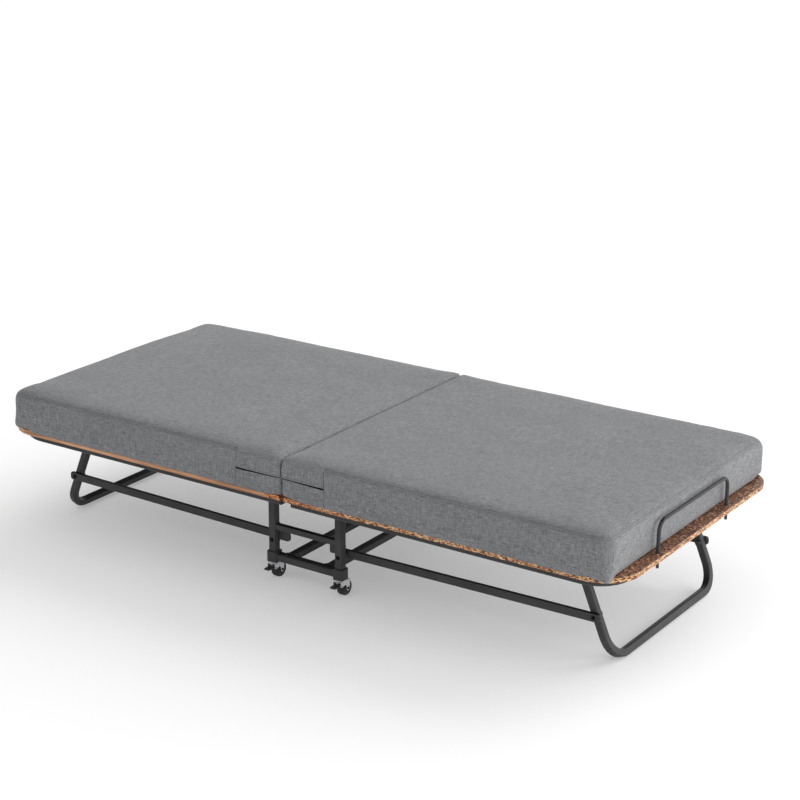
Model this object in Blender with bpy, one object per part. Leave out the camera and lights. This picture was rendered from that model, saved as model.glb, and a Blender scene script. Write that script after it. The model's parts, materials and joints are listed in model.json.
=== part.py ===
"""Folding rollaway bed: two padded decks that fold up on a castored trolley.

Metres, +Z up.  The origin is on the floor under the middle of the bed, +X runs
along the bed and -Y is the front side.  Most pieces come in left/right (-X/+X)
and front/rear (-Y/+Y) copies, which are built from one function with a sign.
"""

from math import atan2, cos, pi, radians, sin, sqrt

import bmesh
import bpy
from mathutils import Matrix, Vector

# ---- Gaps ------------------------------------------------------------------
GAP = 0.0003                    # between two pieces that touch
SLIDE_GAP = 0.0005              # between two flat faces that turn on each other
HOLE_CLEARANCE = 0.0004         # added to a bolt's radius for its hole
FOLD_CLEARANCE = 0.0012         # between a folded deck and what it folds past
WELD = 0.001                    # how far welded tubes run into each other
SLIVER = 0.000004               # points closer than this are one point

# ---- Mattress and boards ---------------------------------------------------
MATTRESS_LENGTH = 1.905
MATTRESS_WIDTH = 0.856
MATTRESS_THICKNESS = 0.100
MATTRESS_SPLIT = 0.0012         # slit between the two halves
MATTRESS_CORNER = 0.032
MATTRESS_INNER_CORNER = 0.008
MATTRESS_EDGE = 0.012
BOARD_THICKNESS = 0.013
BOARD_END_MARGIN = 0.0255       # board beyond the mattress at the end
BOARD_SIDE_MARGIN = 0.004       # board beyond the mattress at the sides
BOARD_CORNER = 0.100
BOARD_INNER_BOTTOM = 0.004      # board's inner end from the middle of the bed
BOARD_INNER_TOP = 0.0085        # cut at a slant, so both decks can rise together
BOARD_EDGE_BREAK = 0.001
NOTCH_ROOM = 0.005              # board's notch beyond the upper rail's faces
LYING_HEIGHT = 0.390            # top of the mattress above the floor

# ---- Deck frames -----------------------------------------------------------
FRAME_TUBE_WIDTH = 0.025
FRAME_TUBE_HEIGHT = 0.020
FRAME_SIDE_INSET = 0.0195       # frame's outer face inside the board's edge
FRAME_END_INSET = 0.028
FRAME_BEND_RADIUS = 0.0775
FRAME_INNER_END = 0.016         # frame's inner end from the middle of the bed
CROSSBAR_WIDTH = 0.025
CROSSBAR_HEIGHT = 0.0148
CROSSBAR_DROP = 0.0002          # crossbars' tops below the frame tube's top
CROSSBAR_COUNT = 5
FIRST_CROSSBAR = 0.100          # from the middle of the bed
LAST_CROSSBAR_INSET = 0.1375    # from the centre line of the end tube
TUBE_CORNER = 0.003
EAR_THICKNESS = 0.004
EAR_RADIUS = 0.011

# ---- Trolley ---------------------------------------------------------------
POST_SIZE = 0.022
POST_X = 0.1075
POST_Y = 0.323
POST_TOP_MARGIN = 0.010         # from the fold axis to the post's top and inner face
SOCKET_WALL = 0.0037
SOCKET_BOTTOM = 0.050
SOCKET_HEIGHT = 0.030
BASE_TUBE = 0.022
LONG_RAIL_X = 0.0625             # long rails of the base, set in from the sockets
LONG_RAIL_TUBE = 0.0216
UPPER_RAIL_DEPTH = 0.016
UPPER_RAIL_HEIGHT = 0.017
STOP_THICKNESS = 0.003
STOP_REACH = 0.030              # stop plate beyond the post, towards the middle
STOP_HEIGHT = 0.030
STOP_CORNER = 0.004
BOSS_RADIUS = 0.009

# ---- Legs and links --------------------------------------------------------
LEG_TUBE = 0.020
LEG_SPLAY = radians(22.5)       # outward from vertical, bed open
LEG_FOLDED_ANGLE = radians(16)  # from the deck, bed folded
LEG_HINGE_HEIGHT = 0.219
LEG_BEND_RADIUS = 0.065
LEG_BEND_STEPS = 8
LEG_TIP = 0.0008                # half thickness of the last ring of a round leg end
LINK_HEIGHT = 0.022
LINK_THICKNESS = 0.010
LINK_TAIL = 0.030               # link beyond its post bolt
LINK_TIP = 0.016                # link beyond its leg bolt
LINK_CORNER = 0.005
LINK_EDGE_BREAK = 0.001
LINK_AXIS_HEIGHT = 0.1125
LINK_STANDOFF = 0.0125          # link's outer face inside the post's inner face

# ---- Bolts -----------------------------------------------------------------
BOLT_RADIUS = 0.004
HEAD_RADIUS = 0.0058
HEAD_HEIGHT = 0.0036
NUT_FLATS = 0.013
NUT_HEIGHT = 0.0055
BOLT_SIDES = 12
HOLE_SIDES = 10

# ---- Mattress retainer bars ------------------------------------------------
RETAINER_ROD = 0.0049           # rod radius
RETAINER_SPAN = 0.376
RETAINER_OFFSET = 0.022         # sideways from the bed's centre line
RETAINER_HEIGHT = 0.079         # rod's centre above the board
RETAINER_BEND = 0.028
RETAINER_ROOM = 0.0028          # rod's surface beyond the mattress, right bar
RETAINER_STAGGER = 0.0108       # the left bar stands further out, so they pass
RETAINER_FOOT = 0.0068
RETAINER_FOOT_HEIGHT = 0.002
RETAINER_COLLAR = 0.003         # the foot's cone up to the rod
STUD_RADIUS = 0.0038
STUD_LENGTH = 0.026             # below the board

# ---- Casters ---------------------------------------------------------------
WHEEL_RADIUS = 0.0215
WHEEL_WIDTH = 0.021
WHEEL_SHOULDER = 0.004
HUB_RECESS = 0.0015
HUB_RADIUS = 0.0065
CASTER_TRAIL = 0.017
CASTER_PLATE = 0.0025
KINGPIN_RADIUS = 0.0045
KINGPIN_HEAD = 0.006
KINGPIN_HEAD_HEIGHT = 0.0025
RACE_RADIUS = 0.0115
RACE_HEIGHT = 0.0015
SMALL_BEVEL = 0.001             # on the race and the rivet heads
FINE_BREAK = 0.0005             # on the top plate and the pedal
RIM_DEPTH = 0.0065              # tread to the wheel's web
FORK_METAL = 0.0015
FORK_SIDE_GAP = 0.001
FORK_FRONT = 0.0155             # fork ahead of the kingpin
FORK_BACK = 0.0075              # fork behind the axle
FORK_WAIST = ((-0.0125, 0.013), (-0.0075, 0.0085))  # from the axle, where the cheek is cut away
FORK_TIP = 0.0065               # fork's radius about the axle
AXLE_RADIUS = 0.0025
AXLE_HEAD = 0.0042
AXLE_HEAD_HEIGHT = 0.0014
PEDAL_AXIS_AHEAD = 0.0115
PEDAL_AXIS_HEIGHT = 0.0355
PEDAL_PIN_RADIUS = 0.0018
PEDAL_HUB_RADIUS = 0.003
PEDAL_LENGTH = 0.026
PEDAL_WIDTH = 0.019
PEDAL_THICKNESS = 0.003
PEDAL_CORNER = 0.005
PEDAL_FLARE = 0.003             # from the neck's width to the full width
PEDAL_NECK_ROOM = 0.002         # flare ahead of the fork

# ---- Places worked out from the sizes above --------------------------------
BOARD_TOP = LYING_HEIGHT - MATTRESS_THICKNESS
BOARD_BOTTOM = BOARD_TOP - BOARD_THICKNESS
BOARD_END = MATTRESS_LENGTH / 2 + BOARD_END_MARGIN
BOARD_SIDE = MATTRESS_WIDTH / 2 + BOARD_SIDE_MARGIN
FRAME_TOP = BOARD_BOTTOM - GAP
FRAME_SIDE = BOARD_SIDE - FRAME_SIDE_INSET - FRAME_TUBE_WIDTH / 2
FRAME_END = BOARD_END - FRAME_END_INSET - FRAME_TUBE_WIDTH / 2
CROSSBAR_TOP = FRAME_TOP - CROSSBAR_DROP
CROSSBAR_BOTTOM = CROSSBAR_TOP - CROSSBAR_HEIGHT
CROSSBAR_PITCH = (FRAME_END - LAST_CROSSBAR_INSET - FIRST_CROSSBAR) / (CROSSBAR_COUNT - 1)
CROSSBARS = [FIRST_CROSSBAR + k * CROSSBAR_PITCH for k in range(CROSSBAR_COUNT)]
POST_INNER_X = POST_X - POST_SIZE / 2
POST_INNER_Y = POST_Y - POST_SIZE / 2
POST_OUTER_Y = POST_Y + POST_SIZE / 2
POST_TOP = CROSSBAR_BOTTOM - FOLD_CLEARANCE
FOLD_X = POST_INNER_X + POST_TOP_MARGIN
FOLD_Z = POST_TOP - POST_TOP_MARGIN
FOLDED_DECK_END = FOLD_Z - FOLD_X + FRAME_INNER_END
UPPER_RAIL_TOP = FOLDED_DECK_END - FOLD_CLEARANCE
UPPER_RAIL_BOTTOM = UPPER_RAIL_TOP - UPPER_RAIL_HEIGHT
SOCKET_TOP = SOCKET_BOTTOM + SOCKET_HEIGHT
SOCKET_HALF = POST_SIZE / 2 + GAP + SOCKET_WALL
BASE_TUBE_Z = SOCKET_BOTTOM + SOCKET_HEIGHT / 2
LINK_OUTER_Y = POST_INNER_Y - LINK_STANDOFF
LINK_INNER_Y = LINK_OUTER_Y - LINK_THICKNESS
LEG_OUTER_Y = LINK_INNER_Y - SLIDE_GAP
LEG_Y = LEG_OUTER_Y - LEG_TUBE / 2
LEG_HINGE_X = CROSSBARS[-1]
HOLE_RADIUS = BOLT_RADIUS + HOLE_CLEARANCE
FORK_INNER = WHEEL_WIDTH / 2 + FORK_SIDE_GAP
FORK_OUTER = FORK_INNER + FORK_METAL
CASTER_PLATE_TOP = SOCKET_BOTTOM - GAP
CASTER_PLATE_BOTTOM = CASTER_PLATE_TOP - CASTER_PLATE
RACE_TOP = CASTER_PLATE_BOTTOM - GAP
FORK_TOP = RACE_TOP - RACE_HEIGHT
FORK_UNDERSIDE = FORK_TOP - FORK_METAL

LEFT, RIGHT = -1, 1
FRONT, REAR = -1, 1
X_NAMES = {LEFT: "left", RIGHT: "right"}
Y_NAMES = {FRONT: "front", REAR: "rear"}


# ---- The four-bar linkage of fold axis, post bolt, link, leg and leg hinge --
def leg_bolt_distance():
    """Leg hinge to leg bolt: the link keeps its length, bed open and bed folded."""
    hinge = Vector((LEG_HINGE_X - FOLD_X, LEG_HINGE_HEIGHT - FOLD_Z))
    post_bolt = Vector((POST_X - FOLD_X, LINK_AXIS_HEIGHT - FOLD_Z))
    folded_hinge = Vector((-hinge.y, hinge.x))
    open_way = Vector((sin(LEG_SPLAY), -cos(LEG_SPLAY)))
    folded_way = Vector((sin(LEG_FOLDED_ANGLE), -cos(LEG_FOLDED_ANGLE)))
    from_bolt = hinge - post_bolt
    folded_from_bolt = folded_hinge - post_bolt
    gained = folded_from_bolt.length_squared - from_bolt.length_squared
    return gained / (2 * (from_bolt.dot(open_way) - folded_from_bolt.dot(folded_way)))


LEG_BOLT_DISTANCE = leg_bolt_distance()
LEG_BOLT_X = LEG_HINGE_X + LEG_BOLT_DISTANCE * sin(LEG_SPLAY)
LEG_BOLT_Z = LEG_HINGE_HEIGHT - LEG_BOLT_DISTANCE * cos(LEG_SPLAY)
LINK_LENGTH = sqrt((LEG_BOLT_X - POST_X) ** 2 + (LEG_BOLT_Z - LINK_AXIS_HEIGHT) ** 2)
LINK_TILT = atan2(LEG_BOLT_Z - LINK_AXIS_HEIGHT, LEG_BOLT_X - POST_X)


# ---- Shapes ----------------------------------------------------------------
def arc(centre, radius, start, end, steps):
    """Points of a flat arc, both ends included, angles in radians."""
    turns = [start + (end - start) * k / steps for k in range(steps + 1)]
    return [(centre[0] + radius * cos(t), centre[1] + radius * sin(t)) for t in turns]


def rounded_rectangle(low, high, radius, steps=2):
    """Flat outline of a rectangle with round corners, counter-clockwise."""
    points = []
    corners = ((high[0], high[1]), (low[0], high[1]), (low[0], low[1]), (high[0], low[1]))
    for k, (x, y) in enumerate(corners):
        centre = (x - radius * (1 if x == high[0] else -1),
                  y - radius * (1 if y == high[1] else -1))
        points += arc(centre, radius, k * pi / 2, (k + 1) * pi / 2, steps)
    return points


def square_section(width, height, steps=2):
    """Outline of a square tube's section, centred on its axis."""
    return rounded_rectangle((-width / 2, -height / 2), (width / 2, height / 2), TUBE_CORNER,
                             steps)


def loft(rings):
    """A closed body through rings of equally many points, capped at both ends."""
    bm = bmesh.new()
    loops = [[bm.verts.new(p) for p in ring] for ring in rings]
    for first, second in zip(loops, loops[1:]):
        for k in range(len(first)):
            j = (k + 1) % len(first)
            bm.faces.new((first[k], first[j], second[j], second[k]))
    bm.faces.new(loops[0])
    bm.faces.new(loops[-1])
    bmesh.ops.recalc_face_normals(bm, faces=bm.faces)
    return bm


def prism(outline, low, high, axis="Z"):
    """An outline pushed along an axis.  Outlines are (x, y), (x, z) or (y, z)."""
    place = {"Z": lambda p, t: (p[0], p[1], t),
             "Y": lambda p, t: (p[0], t, p[1]),
             "X": lambda p, t: (t, p[0], p[1])}[axis]
    return loft([[place(p, t) for p in outline] for t in (low, high)])


def broken_prism(outline, low, high, edge, axis="Z"):
    """A prism whose two end faces have small chamfers."""
    bm = prism(outline, low, high, axis)
    index = "XYZ".index(axis)
    middle = (low + high) / 2
    rims = [e for e in bm.edges
            if (e.verts[0].co[index] - middle) * (e.verts[1].co[index] - middle) > 0]
    bmesh.ops.bevel(bm, geom=rims, offset=edge, segments=1, affect="EDGES")
    bmesh.ops.recalc_face_normals(bm, faces=bm.faces)
    return bm


def tube_along(path, section, up):
    """A bent tube: a section swept along a flat path, square to it at each point.

    The section's first axis lies in the path's plane and its second along up.
    """
    rings = []
    for k, point in enumerate(path):
        ahead = path[min(k + 1, len(path) - 1)] - point
        behind = point - path[max(k - 1, 0)]
        if ahead.length and behind.length:
            way = ahead.normalized() + behind.normalized()
        else:
            way = ahead + behind
        side = way.normalized().cross(up)
        rings.append([point + side * a + up * b for a, b in section])
    return loft(rings)


def cylinder(radius, start, end, sides=16):
    """A rod between two points that lie along one of the axes."""
    way = (Vector(end) - Vector(start)).normalized()
    across = Vector((way.y, way.z, way.x))
    other = way.cross(across)
    turns = [2 * pi * (k + 0.5) / sides for k in range(sides)]
    return loft([[Vector(p) + (across * cos(t) + other * sin(t)) * radius for t in turns]
                 for p in (start, end)])


def turned(profile, sides=24):
    """A round body about Z from (radius, height) points, bottom to top."""
    turns = [2 * pi * k / sides for k in range(sides)]
    return loft([[(r * cos(t), r * sin(t), z) for t in turns] for r, z in profile])


def turned_ring(profile, sides=24):
    """A ring about Z: the profile is a closed loop of (radius, height) points."""
    bm = bmesh.new()
    turns = [2 * pi * k / sides for k in range(sides)]
    loops = [[bm.verts.new((r * cos(t), r * sin(t), z)) for r, z in profile] for t in turns]
    for k in range(sides):
        one, two = loops[k], loops[(k + 1) % sides]
        for i in range(len(profile)):
            j = (i + 1) % len(profile)
            bm.faces.new((one[i], one[j], two[j], two[i]))
    bmesh.ops.recalc_face_normals(bm, faces=bm.faces)
    return bm


# ---- Objects, materials and Booleans ---------------------------------------
MATERIALS = {
    "black_steel": ((0.045, 0.045, 0.047), 0.42, 0.3),
    "plywood": ((0.55, 0.27, 0.12), 0.55, 0.0),
    "grey_fabric": ((0.22, 0.23, 0.24), 0.95, 0.0),
    "bright_steel": ((0.78, 0.78, 0.77), 0.22, 1.0),
    "black_fixing": ((0.012, 0.012, 0.012), 0.35, 0.2),
    "wheel_rubber": ((0.018, 0.018, 0.019), 0.6, 0.0),
    "black_plastic": ((0.02, 0.02, 0.021), 0.45, 0.0),
}


def material(name):
    if name in bpy.data.materials:
        return bpy.data.materials[name]
    colour, roughness, metallic = MATERIALS[name]
    result = bpy.data.materials.new(name)
    result.use_nodes = True
    shader = result.node_tree.nodes["Principled BSDF"]
    shader.inputs["Base Color"].default_value = (*colour, 1.0)
    shader.inputs["Roughness"].default_value = roughness
    shader.inputs["Metallic"].default_value = metallic
    result.diffuse_color = (*colour, 1.0)
    return result


def mesh_from(bm, name):
    mesh = bpy.data.meshes.new(name)
    bm.to_mesh(mesh)
    bm.free()
    return mesh


def boolean(mesh, tool_bm, operation):
    """The mesh after one exact Boolean with a closed tool body."""
    scene = bpy.context.scene.collection
    body = bpy.data.objects.new("boolean_body", mesh)
    tool = bpy.data.objects.new("boolean_tool", mesh_from(tool_bm, "boolean_tool"))
    for obj in (body, tool):
        scene.objects.link(obj)
    modifier = body.modifiers.new("cut", "BOOLEAN")
    modifier.operation = operation
    modifier.solver = "EXACT"
    modifier.object = tool
    evaluated = body.evaluated_get(bpy.context.evaluated_depsgraph_get())
    result = bpy.data.meshes.new_from_object(evaluated)
    tool_mesh = tool.data
    for obj in (body, tool):
        bpy.data.objects.remove(obj)
    for old in (tool_mesh, mesh):
        bpy.data.meshes.remove(old)
    drop_slivers(result)
    return result


def drop_slivers(mesh):
    """Merge the points that a Boolean leaves within a few microns of each other."""
    bm = bmesh.new()
    bm.from_mesh(mesh)
    bmesh.ops.remove_doubles(bm, verts=bm.verts, dist=SLIVER)
    bmesh.ops.dissolve_degenerate(bm, dist=SLIVER, edges=bm.edges)
    bm.to_mesh(mesh)
    bm.free()


def carve(bm, name, joined=(), cuts=()):
    """A mesh from a body with other bodies welded on, and then holes cut out."""
    mesh = mesh_from(bm, name)
    for other in joined:
        mesh = boolean(mesh, other, "UNION")
    for other in cuts:
        mesh = boolean(mesh, other, "DIFFERENCE")
    mesh.name = name
    return mesh


def bored(bm, hole):
    """A body with one hole, as a bmesh that can be welded on to another."""
    mesh = carve(bm, "bored", (), [hole])
    result = bmesh.new()
    result.from_mesh(mesh)
    bpy.data.meshes.remove(mesh)
    return result


def add(name, shape, slot, parent=None, place=(0, 0, 0), turn=(0, 0, 0)):
    """Put one named piece in the scene, in world places, carried by parent."""
    mesh = shape if isinstance(shape, bpy.types.Mesh) else mesh_from(shape, name)
    if not mesh.materials:
        mesh.materials.append(material(slot))
    mesh.shade_smooth()
    mesh.set_sharp_from_angle(angle=radians(32))
    obj = bpy.data.objects.new(name, mesh)
    obj.location = place
    obj.rotation_euler = turn
    bpy.context.scene.collection.objects.link(obj)
    if parent:
        carry(obj, parent)
    return obj


def carry(obj, parent):
    """Parent an object to an axis empty without moving it."""
    obj.parent = parent
    obj.matrix_parent_inverse = Matrix.Translation(parent["at"]).inverted()


def axis(name, point, parent=None):
    """An empty on a joint's axis, which carries what turns on that joint."""
    empty = bpy.data.objects.new(name, None)
    empty.location = point
    empty["at"] = point
    empty.empty_display_size = 0.03
    bpy.context.scene.collection.objects.link(empty)
    if parent:
        carry(empty, parent)
    return empty


# ---- Trolley ---------------------------------------------------------------
def base_frame():
    """Two end rails between sockets for the posts, joined by two long rails set in."""
    section = square_section(BASE_TUBE, BASE_TUBE, 1)
    long_section = square_section(LONG_RAIL_TUBE, LONG_RAIL_TUBE, 1)
    rail_x = POST_X - SOCKET_HALF + WELD
    rail_y = POST_Y - BASE_TUBE / 2 + WELD
    rails = []
    for side in (LEFT, RIGHT):
        outline = [(side * LONG_RAIL_X + a, BASE_TUBE_Z + b) for a, b in long_section]
        rails.append(prism(outline, -rail_y, rail_y, "Y"))
    for side in (FRONT, REAR):
        outline = [(side * POST_Y + a, BASE_TUBE_Z + b) for a, b in section]
        rails.append(prism(outline, -rail_x, rail_x, "X"))
    sockets, bores = [], []
    for x in (-POST_X, POST_X):
        for y in (-POST_Y, POST_Y):
            half, inside = SOCKET_HALF, POST_SIZE / 2 + GAP
            outline = rounded_rectangle((x - half, y - half), (x + half, y + half), TUBE_CORNER)
            hole = rounded_rectangle((x - inside, y - inside), (x + inside, y + inside),
                                     TUBE_CORNER)
            sockets.append(prism(outline, SOCKET_BOTTOM, SOCKET_TOP))
            bores.append(prism(hole, SOCKET_BOTTOM - WELD, SOCKET_TOP + WELD))
    mesh = carve(rails[0], "base_frame", sockets + rails[1:], bores)
    add("base_frame", mesh, "black_steel")


def post_body(x_side, y_side):
    """Post whose inner top corner is round about the fold axis."""
    outer = POST_X + POST_SIZE / 2
    low_y, high_y = sorted((y_side * POST_INNER_Y, y_side * POST_OUTER_Y))

    def ring(inner, z):
        low_x, high_x = sorted((x_side * inner, x_side * outer))
        outline = rounded_rectangle((low_x, low_y), (high_x, high_y), TUBE_CORNER)
        return [(x, y, z) for x, y in outline]

    rings = [ring(POST_INNER_X, SOCKET_BOTTOM + GAP)]
    for t in [radians(a) for a in range(0, 91, 15)]:
        rings.append(ring(FOLD_X - POST_TOP_MARGIN * cos(t), FOLD_Z + POST_TOP_MARGIN * sin(t)))
    return loft(rings)


def stop_plate(x_side, y_side):
    """Plate on the post's inner face that stops the folded deck's foot."""
    top = UPPER_RAIL_BOTTOM
    bottom = top - STOP_HEIGHT
    tip = POST_INNER_X - STOP_REACH
    outer = POST_X + POST_SIZE / 2 - TUBE_CORNER
    round_corner = arc((tip + STOP_CORNER, bottom + STOP_CORNER), STOP_CORNER, pi, 1.5 * pi, 4)
    outline = [(outer, top), (tip, top)] + round_corner
    outline += [(POST_INNER_X, bottom), (POST_INNER_X + TUBE_CORNER, LINK_AXIS_HEIGHT - BOSS_RADIUS),
                (outer, LINK_AXIS_HEIGHT - BOSS_RADIUS)]
    low = y_side * (POST_INNER_Y - STOP_THICKNESS)
    return prism([(x_side * x, z) for x, z in outline], low, y_side * (POST_INNER_Y + WELD), "Y")


def post(x_side, y_side):
    name = f"post_{Y_NAMES[y_side]}_{X_NAMES[x_side]}"
    boss = cylinder(BOSS_RADIUS,
                    (x_side * POST_X, y_side * (LINK_OUTER_Y + GAP), LINK_AXIS_HEIGHT),
                    (x_side * POST_X, y_side * (POST_INNER_Y - STOP_THICKNESS / 2), LINK_AXIS_HEIGHT))
    bolts = [(FOLD_X, FOLD_Z), (POST_X, LINK_AXIS_HEIGHT)]
    near, far = LINK_OUTER_Y - WELD, POST_OUTER_Y + WELD
    holes = [cylinder(HOLE_RADIUS, (x_side * x, y_side * near, z), (x_side * x, y_side * far, z),
                      HOLE_SIDES) for x, z in bolts]
    mesh = carve(post_body(x_side, y_side), name, [stop_plate(x_side, y_side), boss], holes)
    add(name, mesh, "black_steel")


def upper_rail(y_side):
    """Rail between two posts, just under the folded decks' ends."""
    section = square_section(UPPER_RAIL_DEPTH, UPPER_RAIL_HEIGHT)
    middle = (UPPER_RAIL_TOP + UPPER_RAIL_BOTTOM) / 2
    outline = [(y_side * POST_Y + a, middle + b) for a, b in section]
    half = POST_INNER_X - GAP
    add(f"upper_rail_{Y_NAMES[y_side]}", prism(outline, -half, half, "X"), "black_steel")


# ---- Decks -----------------------------------------------------------------
def frame_path(side):
    """Middle line of a deck's U of tube, open towards the middle of the bed."""
    z = FRAME_TOP - FRAME_TUBE_HEIGHT / 2
    turn = (FRAME_END - FRAME_BEND_RADIUS, FRAME_SIDE - FRAME_BEND_RADIUS)
    flat = [(FRAME_INNER_END, -FRAME_SIDE)]
    flat += arc((turn[0], -turn[1]), FRAME_BEND_RADIUS, -pi / 2, 0, 6)
    flat += arc(turn, FRAME_BEND_RADIUS, 0, pi / 2, 6)
    flat.append((FRAME_INNER_END, FRAME_SIDE))
    return [Vector((side * x, y, z)) for x, y in flat]


def crossbar(side, x):
    section = square_section(CROSSBAR_WIDTH, CROSSBAR_HEIGHT, 1)
    z = CROSSBAR_TOP - CROSSBAR_HEIGHT / 2
    half = FRAME_SIDE - FRAME_TUBE_WIDTH / 2 + WELD
    return prism([(side * x + a, z + b) for a, b in section], -half, half, "Y")


def ear(side, x, z, y_low, y_high):
    """Hinge ear under a crossbar: straight sides, round about its bolt."""
    top = CROSSBAR_BOTTOM + WELD
    outline = [(x + EAR_RADIUS, top), (x - EAR_RADIUS, top)]
    outline += arc((x, z), EAR_RADIUS, pi, 2 * pi, 5)
    plate = prism([(side * a, b) for a, b in outline], y_low, y_high, "Y")
    past = WELD if y_high > y_low else -WELD
    hole = cylinder(HOLE_RADIUS, (side * x, y_low - past, z), (side * x, y_high + past, z),
                    HOLE_SIDES)
    return bored(plate, hole)


def ear_pairs():
    """Inner and outer ears of each hinge: (x, z, y of the carried tube's faces)."""
    fold = (FOLD_X, FOLD_Z, POST_INNER_Y - GAP, POST_OUTER_Y + GAP)
    leg = (LEG_HINGE_X, LEG_HINGE_HEIGHT,
           LEG_Y - LEG_TUBE / 2 - SLIDE_GAP, LEG_OUTER_Y + SLIDE_GAP)
    return fold, leg


def deck_frame(side, parent):
    name = f"{X_NAMES[side]}_deck_frame"
    section = square_section(FRAME_TUBE_WIDTH, FRAME_TUBE_HEIGHT, 1)
    tube = tube_along(frame_path(side), section, Vector((0, 0, 1)))
    inner_bar = FRAME_INNER_END + CROSSBAR_WIDTH / 2
    joined = [crossbar(side, x) for x in [inner_bar] + CROSSBARS]
    for x, z, inner, outer in ear_pairs():
        for y_side in (FRONT, REAR):
            for face, other in ((inner, inner - EAR_THICKNESS), (outer, outer + EAR_THICKNESS)):
                joined.append(ear(side, x, z, y_side * face, y_side * other))
    add(name, carve(tube, name, joined), "black_steel", parent)


def board_outline():
    """Right board from above: round outer corners, notches for the upper rails."""
    inner = BOARD_INNER_BOTTOM
    corner = (BOARD_END - BOARD_CORNER, BOARD_SIDE - BOARD_CORNER)
    notch_half = UPPER_RAIL_DEPTH / 2 + NOTCH_ROOM
    notch = (POST_Y - notch_half, POST_Y + notch_half)
    half = [(inner, 0.0), (inner, notch[0]), (FRAME_INNER_END, notch[0]),
            (FRAME_INNER_END, notch[1]), (inner, notch[1]), (inner, BOARD_SIDE)]
    half += arc(corner, BOARD_CORNER, pi / 2, 0, 12)
    mirrored = [(x, -y) for x, y in reversed(half[1:])]
    return mirrored + half[1:]


def retainer_x(side):
    """Distance of a retainer bar from the middle of the bed."""
    right = MATTRESS_LENGTH / 2 + RETAINER_ROOM + RETAINER_ROD
    return right + (RETAINER_STAGGER if side == LEFT else 0)


def retainer_feet(side):
    middle = -side * RETAINER_OFFSET
    return middle - RETAINER_SPAN / 2, middle + RETAINER_SPAN / 2


def board(side, parent):
    name = f"{X_NAMES[side]}_board"
    outline = [(side * x, y) for x, y in board_outline()]
    body = broken_prism(outline, BOARD_BOTTOM, BOARD_TOP, BOARD_EDGE_BREAK)
    cuts = [cylinder(STUD_RADIUS + HOLE_CLEARANCE,
                     (side * retainer_x(side), y, BOARD_BOTTOM - WELD),
                     (side * retainer_x(side), y, BOARD_TOP + WELD), BOLT_SIDES)
            for y in retainer_feet(side)]
    slope = (BOARD_INNER_TOP - BOARD_INNER_BOTTOM) / BOARD_THICKNESS
    low, high = BOARD_BOTTOM - WELD, BOARD_TOP + WELD
    wedge = [(-WELD, low), (BOARD_INNER_BOTTOM - slope * WELD, low),
             (BOARD_INNER_TOP + slope * WELD, high), (-WELD, high)]
    past = BOARD_SIDE + WELD
    cuts.append(prism([(side * x, z) for x, z in wedge], -past, past, "Y"))
    add(name, carve(body, name, (), cuts), "plywood", parent)


def mattress_outline(inset):
    """Right half of the mattress from above, drawn in by inset."""
    inner, outer = MATTRESS_SPLIT / 2 + inset, MATTRESS_LENGTH / 2 - inset
    edge = MATTRESS_WIDTH / 2 - inset
    small, large = MATTRESS_INNER_CORNER, MATTRESS_CORNER - inset
    points = arc((outer - large, edge - large), large, 0, pi / 2, 6)
    points += arc((inner + small, edge - small), small, pi / 2, pi, 3)
    points += arc((inner + small, small - edge), small, pi, 1.5 * pi, 3)
    points += arc((outer - large, large - edge), large, 1.5 * pi, 2 * pi, 6)
    return points


def mattress(side, parent):
    """One foam half with softly rounded top and bottom edges."""
    bottom, top = BOARD_TOP + GAP, LYING_HEIGHT
    rings = []
    for t in [radians(a) for a in (90, 60, 30, 0)]:
        rings.append((MATTRESS_EDGE * (1 - cos(t)), bottom + MATTRESS_EDGE * (1 - sin(t))))
    rings += [(inset, bottom + top - z) for inset, z in reversed(rings)]
    body = loft([[(side * x, y, z) for x, y in mattress_outline(inset)] for inset, z in rings])
    add(f"{X_NAMES[side]}_mattress", body, "grey_fabric", parent)


def retainer_bar(side, parent):
    """Round bar bent over the end of the mattress, with a foot and stud each side."""
    name = f"{X_NAMES[side]}_retainer_bar"
    x = side * retainer_x(side)
    low_y, high_y = retainer_feet(side)
    top = BOARD_TOP + RETAINER_HEIGHT
    bend, foot = RETAINER_BEND, BOARD_TOP + GAP
    flat = [(low_y, foot + RETAINER_FOOT_HEIGHT / 2)]
    flat += arc((low_y + bend, top - bend), bend, pi, pi / 2, 5)
    flat += arc((high_y - bend, top - bend), bend, pi / 2, 0, 5)
    flat.append((high_y, foot + RETAINER_FOOT_HEIGHT / 2))
    path = [Vector((x, y, z)) for y, z in flat]
    rod = [(RETAINER_ROD * cos(t), RETAINER_ROD * sin(t))
           for t in [2 * pi * k / 12 for k in range(12)]]
    body = tube_along(path, rod, Vector((1, 0, 0)))
    joined = []
    for y in (low_y, high_y):
        profile = [(STUD_RADIUS, BOARD_BOTTOM - STUD_LENGTH), (STUD_RADIUS, foot),
                   (RETAINER_FOOT, foot), (RETAINER_FOOT, foot + RETAINER_FOOT_HEIGHT),
                   (RETAINER_ROD - GAP, foot + RETAINER_FOOT_HEIGHT + RETAINER_COLLAR)]
        piece = turned(profile, 14)
        bmesh.ops.translate(piece, verts=piece.verts, vec=(x, y, 0))
        joined.append(piece)
    add(name, carve(body, name, joined), "black_steel", parent)


def hex_radius(turn, flats):
    """Radius of a hexagon with the given size across its flats."""
    from_flat = (turn + pi / 6) % (pi / 3) - pi / 6
    return flats / 2 / cos(from_flat)


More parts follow.
